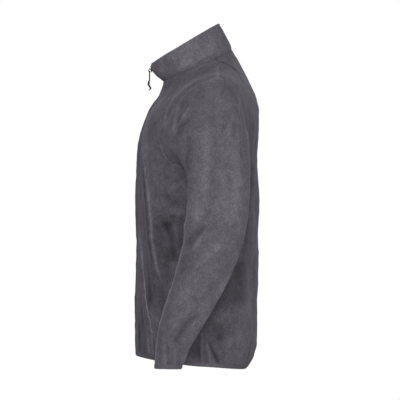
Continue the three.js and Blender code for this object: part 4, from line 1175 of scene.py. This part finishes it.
# A line of like elements, spaced by the tree along the guide and turned to its "out" directions.
def repeated_line(name, guides, outs, element, pitch, size, wander, seed, paint):
    mesh = bpy.data.meshes.new(name)
    edges, corners, facing_out = [], [], []
    for guide, out in zip(guides, outs):
        first = len(corners)
        corners += (guide / 1000).tolist()
        facing_out += out.tolist()
        edges += [(first + i, first + i + 1) for i in range(len(guide) - 1)]
    mesh.from_pydata(corners, edges, [])
    mesh.attributes.new("out", "FLOAT_VECTOR", "POINT").data.foreach_set("vector", np.ravel(facing_out))
    piece = bpy.data.objects.new(name, mesh)
    bpy.context.collection.objects.link(piece)
    tree = bpy.data.node_groups.new(f"{name}_tree", "GeometryNodeTree")
    sockets = {}
    for word, kind, value in (
        ("Line", "NodeSocketGeometry", None),
        ("Pitch", "NodeSocketFloat", pitch / 1000),
        ("Element Size", "NodeSocketVector", [length / 1000 for length in size]),
        ("Wander", "NodeSocketFloat", wander),
        ("Seed", "NodeSocketInt", seed),
        ("Finish", "NodeSocketMaterial", paint),
    ):
        sockets[word] = (tree.interface.new_socket(word, in_out="INPUT", socket_type=kind).identifier, value)
    tree.interface.new_socket("Geometry", in_out="OUTPUT", socket_type="NodeSocketGeometry")
    add, join = tree.nodes.new, tree.links.new
    given, result = add("NodeGroupInput"), add("NodeGroupOutput")
    curve, spaced = add("GeometryNodeMeshToCurve"), add("GeometryNodeResampleCurve")
    spaced.mode = "LENGTH"
    join(given.outputs["Line"], curve.inputs["Mesh"])
    join(curve.outputs[0], spaced.inputs["Curve"])
    join(given.outputs["Pitch"], spaced.inputs["Length"])
    tangent, outward = add("GeometryNodeInputTangent"), add("GeometryNodeInputNamedAttribute")
    outward.data_type = "FLOAT_VECTOR"
    outward.inputs["Name"].default_value = "out"
    turned = add("FunctionNodeAxesToRotation")
    turned.primary_axis, turned.secondary_axis = "X", "Z"
    join(tangent.outputs[0], turned.inputs["Primary Axis"])
    join(outward.outputs["Attribute"], turned.inputs["Secondary Axis"])
    shape = add(element)
    if element == "GeometryNodeMeshIcoSphere":
        shape.inputs["Radius"].default_value = 0.5
        shape.inputs["Subdivisions"].default_value = 2 if pitch > 2 else 1
        solid = shape.outputs["Mesh"]
    else:
        shape.inputs["Vertices"].default_value = 8
        shape.inputs["Radius"].default_value = 0.5
        shape.inputs["Depth"].default_value = 1.0
        solid = shape.outputs["Mesh"]
    sized = add("GeometryNodeTransform")
    join(solid, sized.inputs["Geometry"])
    join(given.outputs["Element Size"], sized.inputs["Scale"])
    placed = add("GeometryNodeInstanceOnPoints")
    swung = add("GeometryNodeRotateInstances")
    chance = add("FunctionNodeRandomValue")
    chance.data_type = "FLOAT_VECTOR"
    lowest = add("ShaderNodeVectorMath")
    lowest.operation = "SCALE"
    lowest.inputs["Scale"].default_value = -1.0
    spread = add("ShaderNodeCombineXYZ")
    join(given.outputs["Wander"], spread.inputs["Z"])
    join(spread.outputs[0], lowest.inputs[0])
    join(lowest.outputs[0], chance.inputs[0])
    join(spread.outputs[0], chance.inputs[1])
    join(given.outputs["Seed"], chance.inputs["Seed"])
    join(spaced.outputs["Curve"], placed.inputs["Points"])
    join(sized.outputs["Geometry"], placed.inputs["Instance"])
    join(turned.outputs["Rotation"], placed.inputs["Rotation"])
    join(placed.outputs["Instances"], swung.inputs["Instances"])
    join(chance.outputs[0], swung.inputs["Rotation"])
    real, painted = add("GeometryNodeRealizeInstances"), add("GeometryNodeSetMaterial")
    smooth = add("GeometryNodeSetShadeSmooth")
    join(swung.outputs["Instances"], real.inputs["Geometry"])
    join(real.outputs["Geometry"], smooth.inputs["Geometry"])
    join(smooth.outputs["Geometry"], painted.inputs["Geometry"])
    join(given.outputs["Finish"], painted.inputs["Material"])
    join(painted.outputs["Geometry"], result.inputs[0])
    modifier = piece.modifiers.new("repeat", "NODES")
    modifier.node_group = tree
    for identifier, value in sockets.values():
        if value is not None:
            modifier[identifier] = value
    made = bpy.data.meshes.new_from_object(piece.evaluated_get(bpy.context.evaluated_depsgraph_get()))
    piece.modifiers.clear()
    piece.data = made
    if not made.materials:
        made.materials.append(paint)
    return piece


chain_levels = np.arange(box_length - band_height + 0.3, slider_at - slider_length / 2 - 0.6, 3.0)
centre = near_zip(chain_levels, np.zeros(len(chain_levels)))
centre_out = unit(np.cross(np.gradient(centre, axis=0), (1.0, 0, 0)))
centre_out = centre_out * np.sign(-centre_out[:, 1:2])
rows, outs = [], []
for half, shift in ((-1, 0.0), (1, 0.5)):
    lift = centre + centre_out * coil_sink
    along = unit(np.gradient(centre, axis=0))
    rows.append(lift + along * shift * coil_pitch + np.array([half * coil_offset, 0, 0]))
    outs.append(centre_out)
teeth = repeated_line(
    "zip_teeth", rows, outs, "GeometryNodeMeshIcoSphere", coil_pitch,
    (coil_rung[1], coil_rung[0], coil_rung[2]), 0.02, 4, coil_plastic,
)
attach(teeth, "garment")
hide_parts("zip_chain")
cord_points = near_zip(chain_levels[:, None], np.linspace(-2.6, 2.6, 5)[None, :])
cord_out = np.repeat(centre_out[:, None], 5, axis=1)
core = cloth_wall("zip_core", cord_points, cord_out, -2.2, -3.6, tape_weave)
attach(core, "garment")


# Box: moulded nylon at the zip's foot, its edges rounded, with a shallow step where the pin goes in.
def bevelled_block(outline, low, high, bevel, segments=2):
    build = bmesh.new()
    ring = [build.verts.new((x, y, low)) for x, y in outline]
    bottom = build.faces.new(ring)
    lifted = bmesh.ops.extrude_face_region(build, geom=[bottom])["geom"]
    corners = [v for v in lifted if isinstance(v, bmesh.types.BMVert)]
    bmesh.ops.translate(build, verts=corners, vec=(0, 0, high - low))
    bmesh.ops.recalc_face_normals(build, faces=build.faces)
    rims = [e for e in build.edges if len(e.link_faces) == 2 and e.calc_face_angle() > math.radians(50)]
    bmesh.ops.bevel(
        build, geom=rims, offset=bevel, segments=segments, profile=0.5, affect="EDGES", clamp_overlap=True,
    )
    return build


def rounded_outline(width, length, radius, steps=6):
    points = []
    for corner in range(4):
        for i in range(steps + 1):
            angle = (corner + i / steps) * math.pi / 2
            cx = (width / 2 - radius) * (1 if corner in (0, 3) else -1)
            cy = (length / 2 - radius) * (1 if corner in (0, 1) else -1)
            points.append((cx + radius * math.cos(angle), cy + radius * math.sin(angle)))
    return points


def placed_piece(name, builds, paint, across, up, out, at):
    joined = bmesh.new()
    for build in builds:
        part = bpy.data.meshes.new("part")
        build.to_mesh(part)
        build.free()
        joined.from_mesh(part)
        bpy.data.meshes.remove(part)
    basis = np.stack([across, up, out], axis=1)
    for vertex in joined.verts:
        vertex.co = (basis @ np.array(vertex.co) + at) / 1000
    mesh = bpy.data.meshes.new(name)
    joined.to_mesh(mesh)
    joined.free()
    mesh.polygons.foreach_set("use_smooth", np.ones(len(mesh.polygons), bool))
    mesh.materials.append(paint)
    piece = bpy.data.objects.new(name, mesh)
    bpy.context.collection.objects.link(piece)
    return piece


across = np.array([1.0, 0, 0])


def zip_place(at):
    low, middle, high = near_zip(np.array([at - 4, at, at + 4]), np.zeros(3))
    up = unit(high - low)
    return middle, up, np.cross(across, up)


foot, up, out = zip_place(-band_height + box_length / 2)
box = placed_piece(
    "zip_box_moulded",
    [
        bevelled_block(rounded_outline(box_width, box_length, 1.2), -1.95, 0.4, 0.5),
        bevelled_block(rounded_outline(box_width - 4.5, box_length - 4, 0.8), 0.1, 0.85, 0.3),
    ],
    coil_plastic, across, up, out, foot,
)
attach(box, "garment")
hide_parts("zip_box")


# Slider: a cast zinc body over the coil with an arched bridge on its face, enamelled nearly black.
slider_wall = 4.4
slider_lift = 1.5
bridge_width = 2.4
bridge_rise = 5.0
bridge_bar = 1.3
bridge_span = 7.0

enamel, nodes, links, shader = new_paint("black_enamel", (0.012, 0.012, 0.013), 0.5, specular=0.22)
place = nodes.new("ShaderNodeTexCoord").outputs["Object"]
specks = noise(nodes, links, place, 420, 4, 0.6)
tone = ramp(nodes, links, specks, ((0.35, (0.008, 0.008, 0.009)), (0.72, (0.02, 0.02, 0.022))))
links.new(tone, shader.inputs["Base Color"])
worn = ramp(nodes, links, specks, ((0.3, (0.42, 0.42, 0.42)), (0.7, (0.6, 0.6, 0.6))))
links.new(worn, shader.inputs["Roughness"])
add_bump(nodes, links, shader, specks, 0.0001, 0.35)

middle, up, out = zip_place(slider_at)
half_span = bridge_span / 2
bridge_top = slider_lift + bridge_rise
legs = []
for end in (-1, 1):
    leg_shape = rounded_outline(bridge_width, bridge_bar, 0.4, 3)
    leg = bevelled_block(leg_shape, slider_lift - 0.5, bridge_top - 0.6, 0.2, 1)
    bmesh.ops.translate(leg, verts=leg.verts, vec=(0, end * (half_span - bridge_bar / 2), 0))
    legs.append(leg)
bar_shape = rounded_outline(bridge_width, bridge_span, 0.9, 4)
bridge = bevelled_block(bar_shape, bridge_top - bridge_bar, bridge_top, 0.4)
wedge = [
    (-4.5, -3.6), (-3.1, -5.5), (3.1, -5.5), (4.5, -3.6), (4.5, 3.1), (3.3, 5.5),
    (1.0, 5.5), (0, 4.3), (-1.0, 5.5), (-3.3, 5.5), (-4.5, 3.1),
]
slider = placed_piece(
    "slider_cast",
    [
        bevelled_block(wedge, slider_lift - 1.3, slider_lift, 0.45),
        bevelled_block(wedge, slider_lift - slider_wall, slider_lift - slider_wall + 1.1, 0.45),
        bevelled_block(
            rounded_outline(3.0, slider_length - 5, 0.8),
            slider_lift - slider_wall + 0.4, slider_lift - 0.4, 0.2, 1,
        ),
        bridge, *legs,
    ],
    enamel, across, up, out, middle,
)
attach(slider, "garment")
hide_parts("zip_slider")


# Pull: a pressed metal frame hung in the slider's bridge, with a soft rubber grip moulded on its lower end.
pin_radius = 0.8
frame_bar = 1.5
frame_width = 6.4
frame_length = 9.0
tab_wall = 2.6
tab_width = 4.4
tab_length = 20.5
grip_length = 23.0
grip_radius = 2.5
grip_rib_pitch = 2.6

pivot = middle + out * (slider_lift + bridge_rise - bridge_bar - pin_radius - 0.35)
arm_x = bridge_width / 2 + 0.45 + frame_bar / 2
hanging = (np.array([1.0, 0, 0]), np.array([0, 0, 1.0]), np.array([0, -1.0, 0]))


def hung_plate(width, top, bottom, radius, x=0.0):
    plate = bevelled_block(rounded_outline(width, top - bottom, radius, 4), -tab_wall / 2, tab_wall / 2, 0.3)
    bmesh.ops.translate(plate, verts=plate.verts, vec=(x, (top + bottom) / 2, 0))
    return plate


bar = bmesh.new()
bmesh.ops.create_cone(
    bar, cap_ends=True, segments=20, radius1=pin_radius, radius2=pin_radius, depth=2 * arm_x,
)
bmesh.ops.rotate(bar, verts=bar.verts, matrix=Matrix.Rotation(math.pi / 2, 3, "Y"))
arms = [hung_plate(frame_bar, pin_radius, pin_radius - frame_length, 0.6, side * arm_x) for side in (-1, 1)]
shoulder = hung_plate(frame_width, pin_radius - frame_length + 1.5, pin_radius - frame_length - 1.5, 1.0)
tab = hung_plate(tab_width, pin_radius - frame_length + 1.5, pin_radius - tab_length, 1.0)
pull = placed_piece("pull_metal", [bar, *arms, shoulder, tab], enamel, *hanging, pivot)
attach(pull, "zip_pull")
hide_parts("pull_frame")

rubber, nodes, links, shader = new_paint("black_rubber", (0.018, 0.018, 0.02), 0.58, specular=0.35)
place = nodes.new("ShaderNodeTexCoord").outputs["Object"]
dust = noise(nodes, links, place, 300, 4, 0.65)
tone = ramp(nodes, links, dust, ((0.35, (0.013, 0.013, 0.015)), (0.75, (0.034, 0.033, 0.036))))
links.new(tone, shader.inputs["Base Color"])
add_bump(nodes, links, shader, dust, 0.0002, 0.35)

grip_top = pivot + np.array([0, 0, pin_radius - tab_length])
grip_way = smooth_track(np.array([0, 0.2, 0.42, 0.62, 0.82, 1.0]), np.array([0, -1.6, -2.0, 0.3, 2.2, -1.0]))
t = np.linspace(0, 1, 61)
turn = np.arange(20) * 2 * math.pi / 20
ribs = 0.16 * np.cos(t * grip_length / grip_rib_pitch * 2 * math.pi)
radius = grip_radius * np.sin(math.pi * (0.1 + 0.78 * t)) ** 0.45 * (1 - 0.1 * t) + ribs * np.sin(math.pi * t)
spine = grip_top + np.stack([t * 0, grip_way(t), -grip_length * t], axis=-1)
circle = np.stack([np.cos(turn), np.sin(turn), turn * 0], axis=-1)
rings = spine[:, None] + radius[:, None, None] * circle[None]
ids = np.arange(rings.shape[0] * 20).reshape(-1, 20)
ids = np.concatenate([ids, ids[:, :1]], axis=1)
faces = quads(ids[:-1, :-1], ids[:-1, 1:], ids[1:, 1:], ids[1:, :-1])
corners = np.concatenate([rings.reshape(-1, 3), [spine[0] + (0, 0, 0.5), spine[-1] - (0, 0, 0.5)]])
caps = [(len(corners) - 2, ids[0, i], ids[0, i + 1], ids[0, i + 2]) for i in range(0, 20, 2)]
caps += [(len(corners) - 1, ids[-1, i + 2], ids[-1, i + 1], ids[-1, i]) for i in range(0, 20, 2)]
grip = solid_piece("pull_rubber", corners, np.concatenate([faces, np.array(caps)]), rubber)
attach(grip, "zip_pull")
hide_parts("pull_grip")


# Pocket strips: a folded strip of fleece stitched over each slanted pocket opening.
pocket_top = np.array([104.0, -398.0])
pocket_bottom = np.array([154.0, -588.0])
pocket_width = 20.0
pocket_wall = 1.6
pocket_foot = 0.3


# The place on the trunk above a point of the front view, found by steps from a first guess.
def place_on_front(x, z):
    at = 627.0 + z + 10
    share = np.abs(x) / 640 * np.sign(x)
    for _ in range(12):
        now = trunk_surface(at, share)
        at = at + (z - now[..., 2]) / 0.93
        share = share + (x - now[..., 0]) / 700
    return at, share


pocket_run = np.linalg.norm(pocket_bottom - pocket_top)
pocket_way = (pocket_bottom - pocket_top) / pocket_run
pocket_across = np.array([-pocket_way[1], pocket_way[0]])
strip_u = steps_between(0, pocket_run, step=3.4)
strip_v = steps_between(0, pocket_width, step=2.4)
for side, word in ((1, "left"), (-1, "right")):
    beside = strip_v[None, :, None] - pocket_width / 2
    spots = pocket_top + pocket_way * strip_u[:, None, None] + pocket_across * beside
    at, share = place_on_front(spots[..., 0] * side, spots[..., 1])
    points = trunk_surface(at, share)
    out = away_from(points, grid_out(points), trunk_inside(points))
    to_end = np.minimum(strip_u, pocket_run - strip_u)
    to_edge = np.minimum.outer(to_end, np.minimum(strip_v, pocket_width - strip_v))
    edge_v = np.minimum(strip_v, pocket_width - strip_v)[None, :]
    high = pocket_foot + pocket_wall + 0.3 - 1.1 * bell(to_edge, 1.1)
    high = high - 0.45 * bell(edge_v - 3.2, 1.1) + 0.2 * uneven(points, 13, 23)
    # Painted highlight round the pocket strip's edges, the strip a little darker overall, with a little tone
    # that differs at random.
    painted_light_and_tone = 0.75 * bell(to_edge, 1.5) - 0.12 + 0.05 * uneven(points, 20, 25)
    strip = cloth_wall(f"pocket_strip_{word}", points, out, high, -0.4, fleece, painted_light_and_tone=painted_light_and_tone)
    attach(strip, "garment")
    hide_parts(f"pocket_welt_{word}")


# Topstitching: polyester thread a shade lighter than the fleece, in a straight stitch about 3 mm long.
# It runs along the collar's top, the zip edges and both edges of each pocket strip.
stitch_pitch = 3.0
stitch_size = (2.3, 0.55, 0.5)

thread, nodes, links, shader = new_paint("grey_thread", (0.13, 0.124, 0.142), 0.55, specular=0.35, sheen=0.1)
place = nodes.new("ShaderNodeTexCoord").outputs["Object"]
plies = noise(nodes, links, place, 1500, 2, 0.5)
tone = ramp(nodes, links, plies, ((0.3, (0.1, 0.096, 0.11)), (0.7, (0.16, 0.153, 0.173))))
links.new(tone, shader.inputs["Base Color"])
add_bump(nodes, links, shader, plies, 0.0001, 0.5)


def stitched(name, guides, outs, height, seed):
    raised = [guide + out * height for guide, out in zip(guides, outs)]
    piece = repeated_line(
        name, raised, outs, "GeometryNodeMeshIcoSphere", stitch_pitch, stitch_size, 0.06, seed, thread,
    )
    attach(piece, "garment")
    return piece


levels = np.full(len(collar_shares) - 12, collar_top_at - collar_edge_roll)
shares = collar_shares[6:-6]
stitched(
    "stitching_collar", [collar_surface(levels, shares)],
    [-surface_out(collar_surface, levels, shares, 3.0, 0.008)], 0.05, 31,
)
rows, outs = [], []
edge_levels = np.arange(1.0, neck_at - 1, 3.0)
upper_levels = np.arange(neck_at + 1.5, collar_top_at - 2, 3.0)
for side in (1, -1):
    for levels, surface in ((edge_levels, trunk_surface), (upper_levels, collar_surface)):
        shares = side * (front_edge_x + 9.0) / (2 * quarter_length(levels, True))
        rows.append(surface(levels, shares))
        outs.append(-surface_out(surface, levels, shares, 3.0, 0.008))
stitched("stitching_zip_edges", rows, outs, 0.15, 33)
for word, side in (("left", 1), ("right", -1)):
    rows, outs = [], []
    for v in (-1, 1):
        u = np.linspace(1.5, pocket_run - 1.5, 60)
        spots = pocket_top + pocket_way * u[:, None] + pocket_across * (v * (pocket_width / 2 - 3.2))
        at, share = place_on_front(spots[:, 0] * side, spots[:, 1])
        rows.append(trunk_surface(at, share))
        outs.append(-surface_out(trunk_surface, at, share, 3.0, 0.008))
    stitched(f"stitching_pocket_{word}", rows, outs, pocket_foot + pocket_wall, 35 + side)
